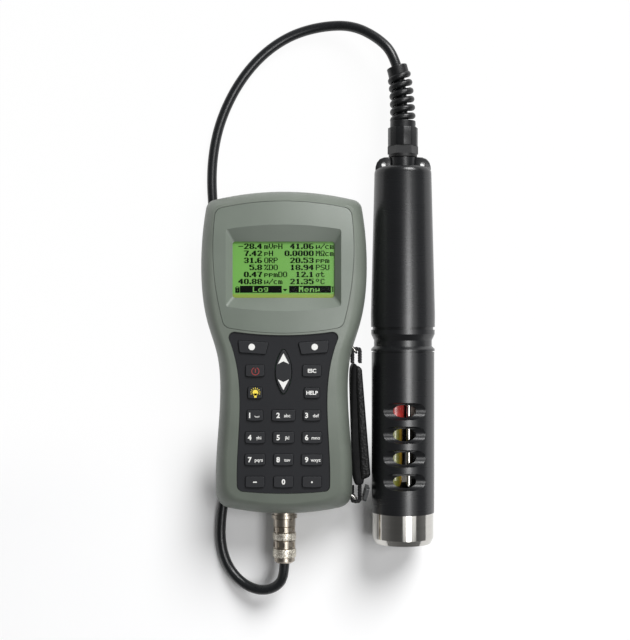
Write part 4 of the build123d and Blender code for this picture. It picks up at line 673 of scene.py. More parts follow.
def ph_glass():
    """Amber body of the acidity sensor under a red collar: a pale painted highlight near its left side, and
    painted shade from olive to dark towards its right.
    """
    material, tree, shader, place = new_finish("amber_polyetherimide", IOR=1.6, Roughness=0.22)
    axes = add_node(tree, "ShaderNodeSeparateXYZ", {"Vector": place})
    low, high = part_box("ph_sensor")
    across = add_node(
        tree, "ShaderNodeMapRange", {"Value": axes.outputs["X"], "From Min": low.x, "From Max": high.x}
    )
    # Painted highlight near the left side and painted shade towards the right, across the body
    stops = [(position, linear(code)) for position, code in AMBER_PAINTED_LIGHT_ACROSS]
    ramp = add_node(tree, "ShaderNodeValToRGB", {"Fac": across.outputs["Result"]}, stops=stops)
    inputs = {0: axes.outputs["Y"], 1: RED_COLLAR_END}
    mark = add_node(tree, "ShaderNodeMath", inputs, operation="GREATER_THAN")
    inputs = {0: mark.outputs[0], 6: ramp.outputs["Color"], 7: linear("#C23A34")}
    tint = add_node(tree, "ShaderNodeMix", inputs, data_type="RGBA")
    tree.links.new(tint.outputs[2], shader.inputs["Base Color"])
    scuffs = pattern_at(tree, place, 1.5 * MM)
    roughen_by(tree, shader, scuffs, 0.18, 0.28)
    return material


def oxygen_body():
    """Oxygen sensor: black body under a pale conical collar."""
    return banded_sensor("oxygen_sensor_body", SENSOR_FOOT, "#1A1A1B", -51.5, "#BFBBB2")


def conductivity_body():
    """Conductivity sensor: black body with a white measuring end."""
    return banded_sensor("conductivity_sensor_body", SENSOR_FOOT, "#D9D6CE", -84, "#1B1B1C")


def strap_cover():
    """Padded nylon cover of the strap: a close plain weave, drawn at about 1 mm so that it shows."""
    material, tree, shader, place = new_finish(
        "woven_nylon_strap", Sheen_Weight=0.03, Sheen_Roughness=0.5, Specular_IOR_Level=0.18
    )
    threads = pattern_at(tree, place, 1.0 * MM, cells=True)
    worn = pattern_at(tree, place, 6 * MM)
    tint_by(tree, shader, worn, (0.3, 0.75), colours().strap, shade_of(colours().strap, 1.6))
    roughen_by(tree, shader, worn, 0.62, 0.8)
    raise_by(tree, shader, threads, 0.5, 0.12 * MM)
    return material


def grained_leatherette():
    """Grained leatherette of the strap's panel: pebbles of about 1.5 mm with a dull shine, each pebble's top
    painted paler as a highlight and the creases between them painted darker as shade.
    """
    material, tree, shader, place = new_finish("grained_leatherette", Roughness=0.5, Specular_IOR_Level=0.3)
    pebbles = pattern_at(tree, place, 1.5 * MM, cells=True)
    # Pebble tops painted paler as a highlight, and the creases between them painted darker as shade
    tint_by(tree, shader, pebbles, (0.1, 0.7), linear("#19191A"), linear("#040404"))
    raise_by(tree, shader, pebbles, 1.0, 0.35 * MM)
    return material


def braided_lace():
    """Braided polyester lacing: soft and matt, its filaments drawn about 0.5 mm wide so that they show."""
    material, tree, shader, place = new_finish("braided_polyester", Roughness=0.6, Sheen_Weight=0.05)
    fibres = pattern_at(tree, place, 0.5 * MM)
    tint_by(tree, shader, fibres, (0.3, 0.7), linear("#0C0C0D"), linear("#232325"))
    raise_by(tree, shader, fibres, 0.5, 0.1 * MM)
    return material


def slide_paint():
    """Painted steel slide: dark grey with faint clouding."""
    return moulded("painted_steel_slide", linear("#2B2D2E"), 0.5, 0.7 * MM, 0.01 * MM, cloud=0.12)


def bench_top():
    """Plain painted bench: matt and nearly white, with a painted white glow beside the head, seen by the
    camera and in what mirrors it, that washes out the shadows there.
    """
    material, tree, shader, place = new_finish("bench_with_painted_glow", Roughness=0.9, Specular_IOR_Level=0.1)
    sheet = pattern_at(tree, place, 260 * MM)
    tint_by(tree, shader, sheet, (0.2, 0.8), linear("#F7F7F8"), linear("#FAFAFA"))
    axes = add_node(tree, "ShaderNodeSeparateXYZ", {"Vector": place})
    inputs = {
        "Value": axes.outputs["Y"], "From Min": BENCH_GLOW_SPAN[0], "From Max": BENCH_GLOW_SPAN[1],
        "To Min": BENCH_GLOW_SHARE[0], "To Max": BENCH_GLOW_SHARE[1],
    }
    spread = add_node(tree, "ShaderNodeMapRange", inputs, interpolation_type="SMOOTHSTEP")
    rays = add_node(tree, "ShaderNodeLightPath").outputs
    seen = rays["Is Camera Ray"]
    for other in ("Is Glossy Ray", "Is Transmission Ray"):
        seen = add_node(tree, "ShaderNodeMath", {0: seen, 1: rays[other]}, operation="MAXIMUM").outputs[0]
    share = add_node(tree, "ShaderNodeMath", {0: seen, 1: spread.outputs["Result"]}, operation="MULTIPLY")
    # Painted white glow, mixed in by the share, that washes out the shadows on the bench beside the head
    white = add_node(tree, "ShaderNodeEmission", {"Color": linear("#FFFFFF"), "Strength": 1.0})
    inputs = {0: share.outputs[0], 1: shader.outputs["BSDF"], 2: white.outputs["Emission"]}
    mixed = add_node(tree, "ShaderNodeMixShader", inputs)
    tree.links.new(mixed.outputs["Shader"], tree.nodes["Material Output"].inputs["Surface"])
    return material


def clear_selection():
    """Leave edit mode and deselect everything."""
    if bpy.context.mode != "OBJECT":
        bpy.ops.object.mode_set(mode="OBJECT")
    bpy.ops.object.select_all(action="DESELECT")


def make_active(piece):
    """Select one object alone."""
    clear_selection()
    piece.select_set(True)
    bpy.context.view_layer.objects.active = piece


def into_edit(piece, kind="VERT"):
    """Open a piece in edit mode with nothing selected."""
    make_active(piece)
    bpy.ops.object.mode_set(mode="EDIT")
    bpy.ops.mesh.select_mode(type=kind)
    bpy.ops.mesh.select_all(action="DESELECT")


def pick(piece, test):
    """Select the vertices of the open piece whose place passes a test."""
    mesh = bmesh.from_edit_mesh(piece.data)
    for vertex in mesh.verts:
        vertex.select = bool(test(vertex.co))
    mesh.select_flush(True)
    bmesh.update_edit_mesh(piece.data)


def settle(piece):
    """Apply the object's place to its mesh."""
    make_active(piece)
    bpy.ops.object.transform_apply(location=True, rotation=True, scale=True)


def apply_modifier(piece, kind, **settings):
    """Add a modifier with its settings and apply it."""
    make_active(piece)
    modifier = piece.modifiers.new(kind.title(), kind)
    for name, value in settings.items():
        setattr(modifier, name, value)
    bpy.ops.object.modifier_apply(modifier=modifier.name)


def dress(piece, name, body, material, smooth=35):
    """Name a finished piece, shade it, and let it ride on its body where it has only one."""
    settle(piece)
    piece.name = name
    piece.data.name = name
    if smooth:
        bpy.ops.object.shade_smooth_by_angle(angle=math.radians(smooth))
    piece.data.materials.clear()
    piece.data.materials.append(material)
    if body:
        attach(piece, body)
    return piece


def soften(piece, width, segments, angle):
    """Round the edges of a piece that turn by more than an angle in degrees."""
    apply_modifier(
        piece, "BEVEL", width=width, segments=segments, limit_method="ANGLE", angle_limit=math.radians(angle)
    )


def cut_away(piece, cutter):
    """Take the shape of a cutter out of a piece."""
    settle(cutter)
    apply_modifier(piece, "BOOLEAN", object=cutter, operation="DIFFERENCE", solver="EXACT")
    bpy.data.objects.remove(cutter)


def close_outwards():
    """Point all faces of the open piece outwards and leave edit mode."""
    bpy.ops.mesh.select_all(action="SELECT")
    bpy.ops.mesh.normals_make_consistent(inside=False)
    bpy.ops.object.mode_set(mode="OBJECT")


def turned_piece(profile, axis, steps=96):
    """Spin a chain of (radius, station) points, in metres, about an axis along Y."""
    clear_selection()
    radius, station = profile[0]
    bpy.ops.mesh.primitive_plane_add(size=MM, location=(axis.x + radius, station, axis.z))
    piece = bpy.context.object
    settle(piece)
    bpy.ops.object.mode_set(mode="EDIT")
    bpy.ops.mesh.select_mode(type="VERT")
    bpy.ops.mesh.select_all(action="SELECT")
    bpy.ops.mesh.merge(type="CENTER")
    for (radius, station), (next_radius, next_station) in zip(profile, profile[1:]):
        step = (next_radius - radius, next_station - station, 0)
        bpy.ops.mesh.extrude_vertices_move(TRANSFORM_OT_translate={"value": step})
    bpy.ops.mesh.select_all(action="SELECT")
    bpy.ops.mesh.spin(steps=steps, angle=2 * math.pi, center=(axis.x, 0, axis.z), axis=(0, 1, 0))
    bpy.ops.mesh.select_all(action="SELECT")
    bpy.ops.mesh.remove_doubles(threshold=TURNED_MERGE)
    close_outwards()
    return piece


def knurled_piece(profile, axis, band, points, depth):
    """Turned piece whose band of rings is raised into rows of points, as by a knurling wheel."""
    piece = turned_piece(profile, axis, steps=points)
    into_edit(piece)
    low, high, rows = band
    pitch = (high - low) / rows
    outside = max(radius for radius, station in profile if low < station < high) - RADIUS_SLACK

    def on_point(place):
        radius = math.hypot(place.x - axis.x, place.z - axis.z)
        if radius < outside or not low < place.y < high:
            return False
        turn = round(math.atan2(place.z - axis.z, place.x - axis.x) / (2 * math.pi) * points)
        row = round((place.y - low) / pitch)
        return (turn + row) % 2 == 0

    pick(piece, on_point)
    bpy.ops.transform.shrink_fatten(value=depth)
    bpy.ops.object.mode_set(mode="OBJECT")
    return piece


def cut_windows(piece, axis, radius, low, high):
    """Cut a ring of shallow windows into a turned band."""
    for index in range(WINDOW_COUNT):
        angle = math.radians(WINDOW_START) + 2 * math.pi * index / WINDOW_COUNT
        place = (axis.x + radius * math.cos(angle), (low + high) / 2, axis.z + radius * math.sin(angle))
        clear_selection()
        bpy.ops.mesh.primitive_cube_add(size=1.0, location=place, rotation=(0, -angle, 0))
        cutter = bpy.context.object
        cutter.scale = (2 * WINDOW_DEPTH, high - low, WINDOW_WIDTH)
        cut_away(piece, cutter)


def knurl_finish(piece, material, low, high):
    """Give the faces of a knurled band their own finish."""
    piece.data.materials.append(material)
    for face in piece.data.polygons:
        if low < face.center.y < high:
            face.material_index = 1


def knurl_rings(low, high, rows, radius):
    """Profile points of a band with one ring for each row of knurl points."""
    return [(radius, low + (high - low) * row / rows) for row in range(rows + 1)]


def slab(outline, low, height):
    """Closed plate of some height, with an outline in metres at its low side."""
    clear_selection()
    bpy.ops.mesh.primitive_circle_add(vertices=len(outline), radius=MM, fill_type="NGON")
    piece = bpy.context.object
    settle(piece)
    for vertex, (x, y) in zip(piece.data.vertices, outline):
        vertex.co = (x, y, low)
    into_edit(piece)
    bpy.ops.mesh.select_all(action="SELECT")
    bpy.ops.mesh.extrude_region_move(TRANSFORM_OT_translate={"value": (0, 0, height)})
    close_outwards()
    return piece


def joined(pieces):
    """Join several meshes into one object."""
    clear_selection()
    for piece in pieces:
        piece.select_set(True)
    bpy.context.view_layer.objects.active = pieces[0]
    bpy.ops.object.join()
    return bpy.context.object


def inflate(piece, pressure, mass, limit):
    """Swell a closed mesh as stuffed cloth, and keep each point within a limit of its start."""
    before = [vertex.co.copy() for vertex in piece.data.vertices]
    make_active(piece)
    cloth = piece.modifiers.new("Cloth", "CLOTH")
    cloth.settings.use_pressure = True
    cloth.settings.uniform_pressure_force = pressure
    cloth.settings.mass = mass
    cloth.settings.effector_weights.gravity = 0.0
    scene = bpy.context.scene
    for number in range(1, SWELL_FRAMES + 1):
        scene.frame_set(number)
    bpy.ops.object.modifier_apply(modifier=cloth.name)
    scene.frame_set(1)
    moves = []
    for vertex, start in zip(piece.data.vertices, before):
        move = vertex.co - start
        moves.append(move.length)
        if move.length > limit:
            vertex.co = start + move.normalized() * limit
    print("swell", round(max(moves) / MM, 2), "mm at most")


def linked(name, data, location=(0, 0, 0), rotation=(0, 0, 0)):
    """New object with some data, put into the scene."""
    thing = bpy.data.objects.new(name, data)
    thing.location = location
    thing.rotation_euler = rotation
    bpy.context.collection.objects.link(thing)
    return thing


def curve_points(name, points):
    """Points along the smooth curve that has the given points as its control points."""
    data = bpy.data.curves.new(name, "CURVE")
    data.dimensions = "3D"
    data.resolution_u = CURVE_STEPS
    spline = data.splines.new("NURBS")
    spline.points.add(len(points) - 1)
    for point, place in zip(spline.points, points):
        point.co = (*place, 1.0)
    spline.order_u = 3
    spline.use_endpoint_u = True
    curve = linked(name, data)
    mesh = bpy.data.meshes.new_from_object(curve)
    line = [vertex.co.copy() for vertex in mesh.vertices]
    bpy.data.meshes.remove(mesh)
    bpy.data.objects.remove(curve)
    return line


def place_along(points, distance):
    """Place and direction at a distance along a chain of points."""
    walked = 0.0
    for before, after in zip(points, points[1:]):
        step = (after - before).length
        if walked + step >= distance:
            return before.lerp(after, (distance - walked) / step), (after - before).normalized()
        walked += step
    raise ValueError("the chain of points is shorter than the distance")


def travel_frames(points):
    """Place, direction and two side directions at each point, turned as little as may be."""
    frames = []
    side = None
    for index, place in enumerate(points):
        before = points[max(index - 1, 0)]
        after = points[min(index + 1, len(points) - 1)]
        along = (after - before).normalized()
        if side is None:
            side = along.cross(Vector((0, 0, 1))).normalized()
        side = (side - along * side.dot(along)).normalized()
        frames.append((place, along, side, along.cross(side)))
    return frames


def tube_along(name, points, radius, sides):
    """Round closed tube that follows points, with one ring of vertices at each."""
    rings = []
    vertices = []
    for place, along, side, other in travel_frames(points):
        ring = []
        for index in range(sides):
            angle = 2 * math.pi * index / sides
            ring.append(len(vertices))
            vertices.append(place + side * (radius * math.cos(angle)) + other * (radius * math.sin(angle)))
        rings.append(ring)
    faces = []
    for ring, following in zip(rings, rings[1:]):
        for index in range(sides):
            after = (index + 1) % sides
            faces.append((ring[index], ring[after], following[after], following[index]))
    faces.append(tuple(reversed(rings[0])))
    faces.append(tuple(rings[-1]))
    mesh = bpy.data.meshes.new(name)
    mesh.from_pydata([tuple(vertex) for vertex in vertices], [], faces)
    piece = linked(name, mesh)
    into_edit(piece)
    close_outwards()
    return piece


def twisted(points, radius, count, pitch):
    """Strands twisted round a chain of points, as a laid cord."""
    lengths = [0.0]
    for before, after in zip(points, points[1:]):
        lengths.append(lengths[-1] + (after - before).length)
    thick = radius / (1 + 1 / math.sin(math.pi / count))
    strands = []
    for index in range(count):
        chain = []
        for (place, along, side, other), walked in zip(travel_frames(points), lengths):
            angle = 2 * math.pi * (walked / pitch + index / count)
            chain.append(place + (side * math.cos(angle) + other * math.sin(angle)) * (radius - thick))
        strands.append(tube_along("strand", chain, thick, sides=STRAND_SIDES))
    return strands


def lettering(text, height, place, bold):
    """Flat text as a thin mesh, centred on a place and printed upwards."""
    clear_selection()
    bpy.ops.object.text_add(location=place)
    piece = bpy.context.object
    data = piece.data
    data.body = text
    data.size = height * MM / CAPITAL_SHARE
    data.align_x = "CENTER"
    data.align_y = "CENTER"
    data.offset = bold * MM
    data.extrude = sizes().ink_height / 2
    data.resolution_u = 4
    bpy.ops.object.convert(target="MESH")
    piece = bpy.context.object
    settle(piece)
    into_edit(piece)
    bpy.ops.mesh.select_all(action="SELECT")
    bpy.ops.mesh.remove_doubles(threshold=LETTER_MERGE)
    bpy.ops.object.mode_set(mode="OBJECT")
    return piece


def flat_print(outline, place):
    """Thin printed shape from outline points, in mm about a place."""
    outline = [(place.x + x * MM, place.y + y * MM) for x, y in outline]
    return slab(outline, place.z, sizes().ink_height)


def arc_points(radius, start, end, steps):
    """Points along an arc between two angles in degrees, both ends included."""
    angles = [math.radians(start + (end - start) * step / steps) for step in range(steps + 1)]
    return [(radius * math.cos(angle), radius * math.sin(angle)) for angle in angles]


def band_outline(outer, inner, start, end, steps=24):
    """Points of an arc-shaped band between two radii and two angles in degrees."""
    return arc_points(outer, start, end, steps) + arc_points(inner, start, end, steps)[::-1]


def round_outline(radius, steps=28):
    """Points of a circle."""
    return arc_points(radius, 0, 360, steps)[:-1]


def moved(outline, x, y, turn=0.0):
    """Outline turned by some degrees and moved by x and y."""
    cosine = math.cos(math.radians(turn))
    sine = math.sin(math.radians(turn))
    return [(x + px * cosine - py * sine, y + px * sine + py * cosine) for px, py in outline]


def bar_outline(width, height, x=0.0, y=0.0, turn=0.0):
    """Points of a rectangle, turned by some degrees and moved by x and y."""
    w, h = width / 2, height / 2
    return moved([(w, h), (-w, h), (-w, -h), (w, -h)], x, y, turn)


def above(node):
    """Place just above the middle of a key's cap."""
    low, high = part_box(node)
    return Vector(((low.x + high.x) / 2, (low.y + high.y) / 2, high.z + INK_LIFT))


def print_on(node, pieces, ink):
    """Join the pieces of a key's legend and let them ride on the key."""
    dress(joined(pieces), node + "_legend", node, ink, smooth=0)


def print_outlines(node, outlines, ink):
    """Print outlines, in mm about the middle of a key's cap, as its legend."""
    place = above(node)
    print_on(node, [flat_print(outline, place) for outline in outlines], ink)


def lamp_outlines():
    """Bulb, its base and its ring of rays."""
    outlines = [moved(round_outline(BULB_RADIUS), *BULB_MIDDLE)]
    outlines += [bar_outline(*bar) for bar in BULB_BASE]
    for step in range(RAY_COUNT):
        turn = RAY_START + RAY_SPAN * step / (RAY_COUNT - 1)
        x = BULB_MIDDLE[0] + RAY_REACH * math.cos(math.radians(turn))
        y = BULB_MIDDLE[1] + RAY_REACH * math.sin(math.radians(turn))
        outlines.append(bar_outline(*RAY_SIZE, x, y, turn))
    return outlines


def dot_block(columns, rows):
    """Dots of a rectangle between two columns and two rows."""
    return {(column, row) for column in range(*columns) for row in range(*rows)}


def word_width(text):
    """Columns that a bold word takes."""
    return sum(POINT_STEP if letter == "." else LETTER_WIDTH + 2 for letter in text)


def word_dots(text, column, row, bold):
    """Dots of a word; bold strokes run on by one dot. W is ohm, * degree, u micro and s sigma."""
    dots = set()
    reach = 2 if bold else 1
    for letter in text:
        if letter == ".":
            dots |= dot_block((column, column + 2), (row + 5, row + 7))
            column += POINT_STEP
            continue
        for down, line in enumerate(LETTERS[letter].split()):
            for across, mark in enumerate(line):
                if mark == "#":
                    dots.update((column + across + extra, row + down) for extra in range(reach))
        column += LETTER_WIDTH + reach
    return dots


def lit_dot_places():
    """Column and row of every dot that is on."""
    lit = set()
    for index, readings in enumerate(READINGS):
        row = index * ROW_DOTS
        for end, (value, unit) in zip(VALUE_END_COLUMNS, readings):
            lit |= word_dots(value, end - word_width(value), row, True)
            lit |= word_dots(unit, end + 2, row, False)
    for text, start, end in SOFT_LABELS:
        column = start + (end - start - word_width(text)) // 2
        lit |= dot_block((start, end), BAR_ROWS) - word_dots(text, column, BAR_ROWS[0] + 1, True)
    lit |= dot_block(*LOCK_BODY) - LOCK_HOLE | LOCK_SHACKLE
    for fall in range(ARROW_ROWS):
        row = ARROW_TOP + fall
        lit |= dot_block((ARROW_COLUMNS[0] + fall, ARROW_COLUMNS[1] - fall), (row, row + 1))
    lit |= dot_block(*GAUGE_HEAD) | dot_block(*GAUGE_STEM)
    return {place for place in lit if place[0] < DOT_COLUMNS}


class METER_OT_stage(bpy.types.Operator):
    """Bench, soft lights, world and the camera straight above"""

    bl_idname = "meter.stage"
    bl_label = "Stage"

    def execute(self, context):
        scene = context.scene
        scene.view_settings.view_transform = "Standard"
        clear_selection()
        bpy.ops.mesh.primitive_plane_add(size=BENCH_SIZE, location=(0, 0, -BENCH_DROP))
        bench = context.object
        bench.name = "bench"
        bench.data.materials.append(bench_top())

        lens = bpy.data.cameras.new("photo_camera")
        lens.sensor_width = SENSOR_SIZE
        lens.lens = SENSOR_SIZE * CAMERA_PLACE.z / VIEW_HEIGHT_ON_BENCH
        scene.camera = linked("photo_camera", lens, CAMERA_PLACE)

        world = bpy.data.worlds.new("studio")
        world.use_nodes = True
        tree = world.node_tree
        tree.nodes.clear()
        direction = add_node(tree, "ShaderNodeTexCoord")
        axes = add_node(tree, "ShaderNodeSeparateXYZ", {"Vector": direction.outputs["Generated"]})
        stops = [(position, (level, level, level, 1)) for position, level in WORLD_LEVELS]
        ramp = add_node(tree, "ShaderNodeValToRGB", {"Fac": axes.outputs["Z"]}, stops=stops)
        surround = add_node(tree, "ShaderNodeBackground", {"Color": ramp.outputs["Color"], "Strength": 1.0})
        add_node(tree, "ShaderNodeOutputWorld", {"Surface": surround.outputs["Background"]})
        scene.world = world

        key = bpy.data.lights.new("key_light", "SUN")
        key.energy = KEY_STRENGTH
        key.angle = math.radians(KEY_ANGLE)
        linked("key_light", key, rotation=Vector(KEY_DIRECTION).to_track_quat("Z", "Y").to_euler())

        for name, lean, distance, width, length, radiance in LIGHT_BOXES:
            box = bpy.data.lights.new(name, "AREA")
            box.shape = "RECTANGLE"
            box.size = width
            box.size_y = length
            box.energy = radiance * math.pi * width * length
            turn = math.radians(lean)
            offset = Vector((distance * math.sin(turn), BOX_MIDDLE, distance * math.cos(turn)))
            linked(name, box, PROBE_AXIS + offset, (0, turn, 0))
        return {"FINISHED"}


class METER_OT_finishes(bpy.types.Operator):
    """Finishes of the solids that keep their own shape"""

    bl_idname = "meter.finishes"
    bl_label = "Finishes"

    def execute(self, context):
        keys = [name for name in NODES if name.startswith("key_") and name != "key_domes"]
        groups = [
            (abs_case(), ["case_front", "case_back", "battery_cover"]),
            (abs_bezel(), ["display_bezel"]),
            (acrylic_window(), ["display_window"]),
            (lit_screen(), ["lcd_module"]),
            (silicone_mat(), ["keypad_mat"]),
            (board_laminate(), ["main_board"]),
            (silicone_key(), keys),
            (cell_jacket(), ["battery_cells"]),
            (brass(), ["battery_contacts"]),
            (stainless(), ["key_domes", "battery_cover_screws", "case_screws", "strap_anchors",
                           "temperature_rod", "guard_weight"]),
            (nickel(), ["probe_socket", "socket_nut", "plug_shell", "coupling_ring", "plug_back_nut"]),
            (black_insulator(), ["socket_contacts", "plug_insert"]),
            (gland_nylon(), ["gland_spiral_nut", "gland_body"]),
            (probe_plastic(), ["probe_head", "probe_body", "sensor_block", "guard"]),
            (seal_rubber(), ["case_gasket", "battery_cover_gasket", "gland_gasket", "guard_seal"]),
            (ph_glass(), ["ph_sensor"]),
            (oxygen_body(), ["do_sensor"]),
            (conductivity_body(), ["ec_sensor"]),
            (slide_paint(), ["strap_slider"]),
            (cord_jacket(), ["probe_cord"]),
            (strap_cover(), ["hand_strap"]),
            (braided_lace(), ["strap_cord_upper", "strap_cord_lower"]),
        ]
        for material, names in groups:
            for name in names:
                for slot in NODES[name].material_slots:
                    slot.material = material
        return {"FINISHED"}


class METER_OT_cord(bpy.types.Operator):
    """Cord from the plug to the gland"""

    bl_idname = "meter.cord"
    bl_label = "Cord"

    def execute(self, context):
        points = curve_points("cord_route", [CORD_START, *CORD_ROUTE, CORD_END])
        cord = tube_along("cord", points, sizes().cord_diameter / 2, sides=CORD_SIDES)
        dress(cord, "cord", None, bpy.data.materials["extruded_polyurethane_cord"], smooth=60)
        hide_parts("probe_cord")
        length = sum((after - before).length for before, after in zip(points, points[1:]))
        print("cord length", round(length, 4))
        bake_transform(cord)
        return {"FINISHED"}


class METER_OT_display(bpy.types.Operator):
    """Dots of the display that are on"""

    bl_idname = "meter.display"
    bl_label = "Display dots"

    def execute(self, context):
        clear_selection()
        left = -DOT_COLUMNS * DOT_PITCH / 2
        middle = (0.0, MATRIX_TOP - DOT_ROWS * DOT_PITCH / 2, LCD_TOP + DOT_LIFT)
        bpy.ops.mesh.primitive_grid_add(
            x_subdivisions=DOT_COLUMNS * DOT_CELLS, y_subdivisions=DOT_ROWS * DOT_CELLS, size=DOT_PITCH,
            location=middle,
        )
        dots = context.object
        dots.scale = (DOT_COLUMNS, DOT_ROWS, 1)
        settle(dots)
        lit = set()
        for column, row in lit_dot_places():
            first, top = column * DOT_CELLS, row * DOT_CELLS
            lit |= dot_block((first, first + DOT_CELLS + 1), (top, top + DOT_CELLS))
        cell = DOT_PITCH / DOT_CELLS
        into_edit(dots, "FACE")
        mesh = bmesh.from_edit_mesh(dots.data)
        for face in mesh.faces:
            centre = face.calc_center_median()
            column = int((centre.x - left) / cell)
            row = int((MATRIX_TOP - centre.y) / cell)
            face.select = (column, row) not in lit
        bmesh.update_edit_mesh(dots.data)
        bpy.ops.mesh.delete(type="FACE")
        bpy.ops.object.mode_set(mode="OBJECT")
        dress(dots, "display_dots", "handset", lit_dots(), smooth=0)
        return {"FINISHED"}


class METER_OT_legends(bpy.types.Operator):
    """Printed legends on the keys"""

    bl_idname = "meter.legends"
    bl_label = "Key legends"

    def execute(self, context):
        white = printed_ink("screen_printed_white", colours().ink)
        red = printed_ink("screen_printed_red", colours().power)
        yellow = printed_ink("screen_printed_yellow", colours().lamp)

        for node, shift in SOFT_DOT_PLACES.items():
            print_outlines(node, [moved(round_outline(SOFT_DOT_RADIUS), *shift)], white)
        ring = moved(band_outline(*POWER_RING), *POWER_RING_PLACE)
        print_outlines("key_power", [ring, bar_outline(*POWER_STROKE)], red)
        print_outlines("key_lamp", lamp_outlines(), yellow)
        for node, word in (("key_escape", "ESC"), ("key_help", "HELP")):
            print_on(node, [lettering(word, WORD_HEIGHT, above(node), WORD_BOLD)], white)

        for digit, letters in DIGIT_LETTERS.items():
            node = "key_" + digit
            place = above(node)
            shift = 0.0 if digit == "0" else DIGIT_SHIFT
            pieces = [lettering(digit, DIGIT_HEIGHT, place + Vector((shift * MM, 0, 0)), DIGIT_BOLD)]
            if letters:
                group = place + Vector((GROUP_SHIFT[0] * MM, GROUP_SHIFT[1] * MM, 0))
                pieces.append(lettering(letters, GROUP_HEIGHT, group, GROUP_BOLD))
            if digit == "1":
                pieces += [flat_print(bar_outline(*bar), place) for bar in SPACE_BARS]
            print_on(node, pieces, white)

        print_outlines("key_minus", [bar_outline(*MINUS_BAR)], white)
        print_outlines("key_point", [round_outline(POINT_RADIUS)], white)
        arrows = [[(x, sign * (y + CHEVRON_OFFSET)) for x, y in CHEVRON] for sign in (1, -1)]
        print_outlines("key_arrows", arrows, white)
        return {"FINISHED"}


class METER_OT_plug(bpy.types.Operator):
    """Knurled ring, windowed collar and knurled nut of the plug"""

    bl_idname = "meter.plug"
    bl_label = "Plug"

    def execute(self, context):
        self.plated = bpy.data.materials["nickel_plated_brass"]
        self.knurled = knurled_nickel_with_glints()
        self.make_ring()
        self.make_collar()
        self.make_nut()
        return {"FINISHED"}

    def plate(self, piece, name, body, node):
        """Plate a piece and let it stand for its node."""
        dress(piece, name, body, self.plated, smooth=24)
        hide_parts(node)

    def make_ring(self):
        """Coupling ring: a knurled grip, a windowed waist and a plain rim."""
        edge = PLUG_EDGE
        depth = sizes().knurl_depth
        low, top = RING_LOW.y, RING_HIGH.y
        grip = low + RING_GRIP
        waist = grip + RING_WAIST
        radius = (RING_HIGH.x - RING_LOW.x) / 2 - depth
        face, groove, rim = radius - edge, radius - 2 * edge, radius - edge / 2
        profile = [(RING_BORE, low), (face, low)]
        profile += knurl_rings(low + edge, grip - edge, KNURL_ROWS, radius)
        profile += [
            (groove, grip), (face, grip + edge), (face, waist - edge), (groove, waist), (rim, waist + edge),
            (rim, top - edge), (groove, top), (RING_BORE, top), (RING_BORE, low),
        ]
        ring = knurled_piece(profile, PLUG_AXIS, (low + edge, grip - edge, KNURL_ROWS), KNURL_POINTS, depth)
        cut_windows(ring, PLUG_AXIS, face, grip + 2 * edge, waist - 2 * edge)
        self.plate(ring, "knurled_ring", "coupling_ring", "coupling_ring")
        knurl_finish(ring, self.knurled, low + edge / 2, grip - edge / 2)

    def make_collar(self):
        """Plain windowed collar with the sleeve that enters the ring."""
        edge = PLUG_EDGE
        low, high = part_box("plug_shell")
        rear = RING_LOW.y - RING_GAP
        radius = (high.x - low.x) / 2
        profile = [
            (0.0, low.y), (radius - edge, low.y), (radius, low.y + edge), (radius, rear - edge),
            (radius - edge, rear), (SLEEVE_RADIUS, rear), (SLEEVE_RADIUS, high.y), (SLEEVE_BORE, high.y),
            (SLEEVE_BORE, rear), (0.0, rear), (0.0, low.y),
        ]
        collar = turned_piece(profile, PLUG_AXIS)
        cut_windows(collar, PLUG_AXIS, radius, low.y + 3 * edge, rear - 3 * edge)
        self.plate(collar, "plug_collar", "cable", "plug_shell")

    def make_nut(self):
        """Knurled nut with a tapered mouth round the cord."""
        edge = PLUG_EDGE
        depth = sizes().knurl_depth
        foot, high = PLUG_LOW.y, PLUG_HIGH.y
        grip = high - NUT_GRIP
        radius = (PLUG_HIGH.x - PLUG_LOW.x) / 2 - depth
        groove = radius - 2 * edge
        mouth = sizes().cord_diameter / 2 + CORD_GAP
        profile = [(0.0, high), (radius - edge, high)]
        profile += list(reversed(knurl_rings(grip + edge, high - edge, KNURL_ROWS, radius)))
        profile += [
            (groove, grip), (groove, grip - edge), (NUT_LIP_RADIUS, foot + NUT_LIP_LENGTH),
            (NUT_LIP_RADIUS - NUT_LIP_CHAMFER, foot), (mouth, foot), (mouth, foot + NUT_MOUTH_DEPTH),
            (0.0, foot + NUT_MOUTH_DEPTH), (0.0, high),
        ]
        nut = knurled_piece(profile, PLUG_AXIS, (grip + edge, high - edge, KNURL_ROWS), KNURL_POINTS, depth)
        self.plate(nut, "knurled_cord_nut", "cable", "plug_back_nut")
        knurl_finish(nut, self.knurled, grip + edge / 2, high - edge / 2)


class METER_OT_head(bpy.types.Operator):
    """Head of the probe with its two lifting ears"""

    bl_idname = "meter.head"
    bl_label = "Probe head"

    def execute(self, context):
        profile = [(radius * MM, station * MM) for radius, station in HEAD_PROFILE]
        profile = [(0.0, profile[0][1])] + profile + [(0.0, profile[-1][1]), (0.0, profile[0][1])]
        pieces = [turned_piece(profile, PROBE_AXIS)]
        eyelets = [mount["pos_m"] for mount in frame["record"]["mounts"] if mount["name"].endswith("eyelet")]
        for sign, eyelet in zip((-1, 1), sorted(eyelets)):
            outline = [(PROBE_AXIS.x + sign * x * MM, y * MM) for x, y in EAR_OUTLINE]
            ear = slab(outline, PROBE_AXIS.z - EAR_HALF, 2 * EAR_HALF)
            soften(ear, EAR_EDGE, segments=3, angle=35)
            clear_selection()
            bpy.ops.mesh.primitive_cylinder_add(
                vertices=36, radius=EYELET_RADIUS, depth=EYELET_CUT, location=eyelet
            )
            cut_away(ear, context.object)
            pieces.append(ear)
        black = bpy.data.materials["turned_PVC_probe"]
        head = dress(joined(pieces), "head_and_ears", "probe", black, smooth=30)
        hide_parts("probe_head")
        return {"FINISHED"}


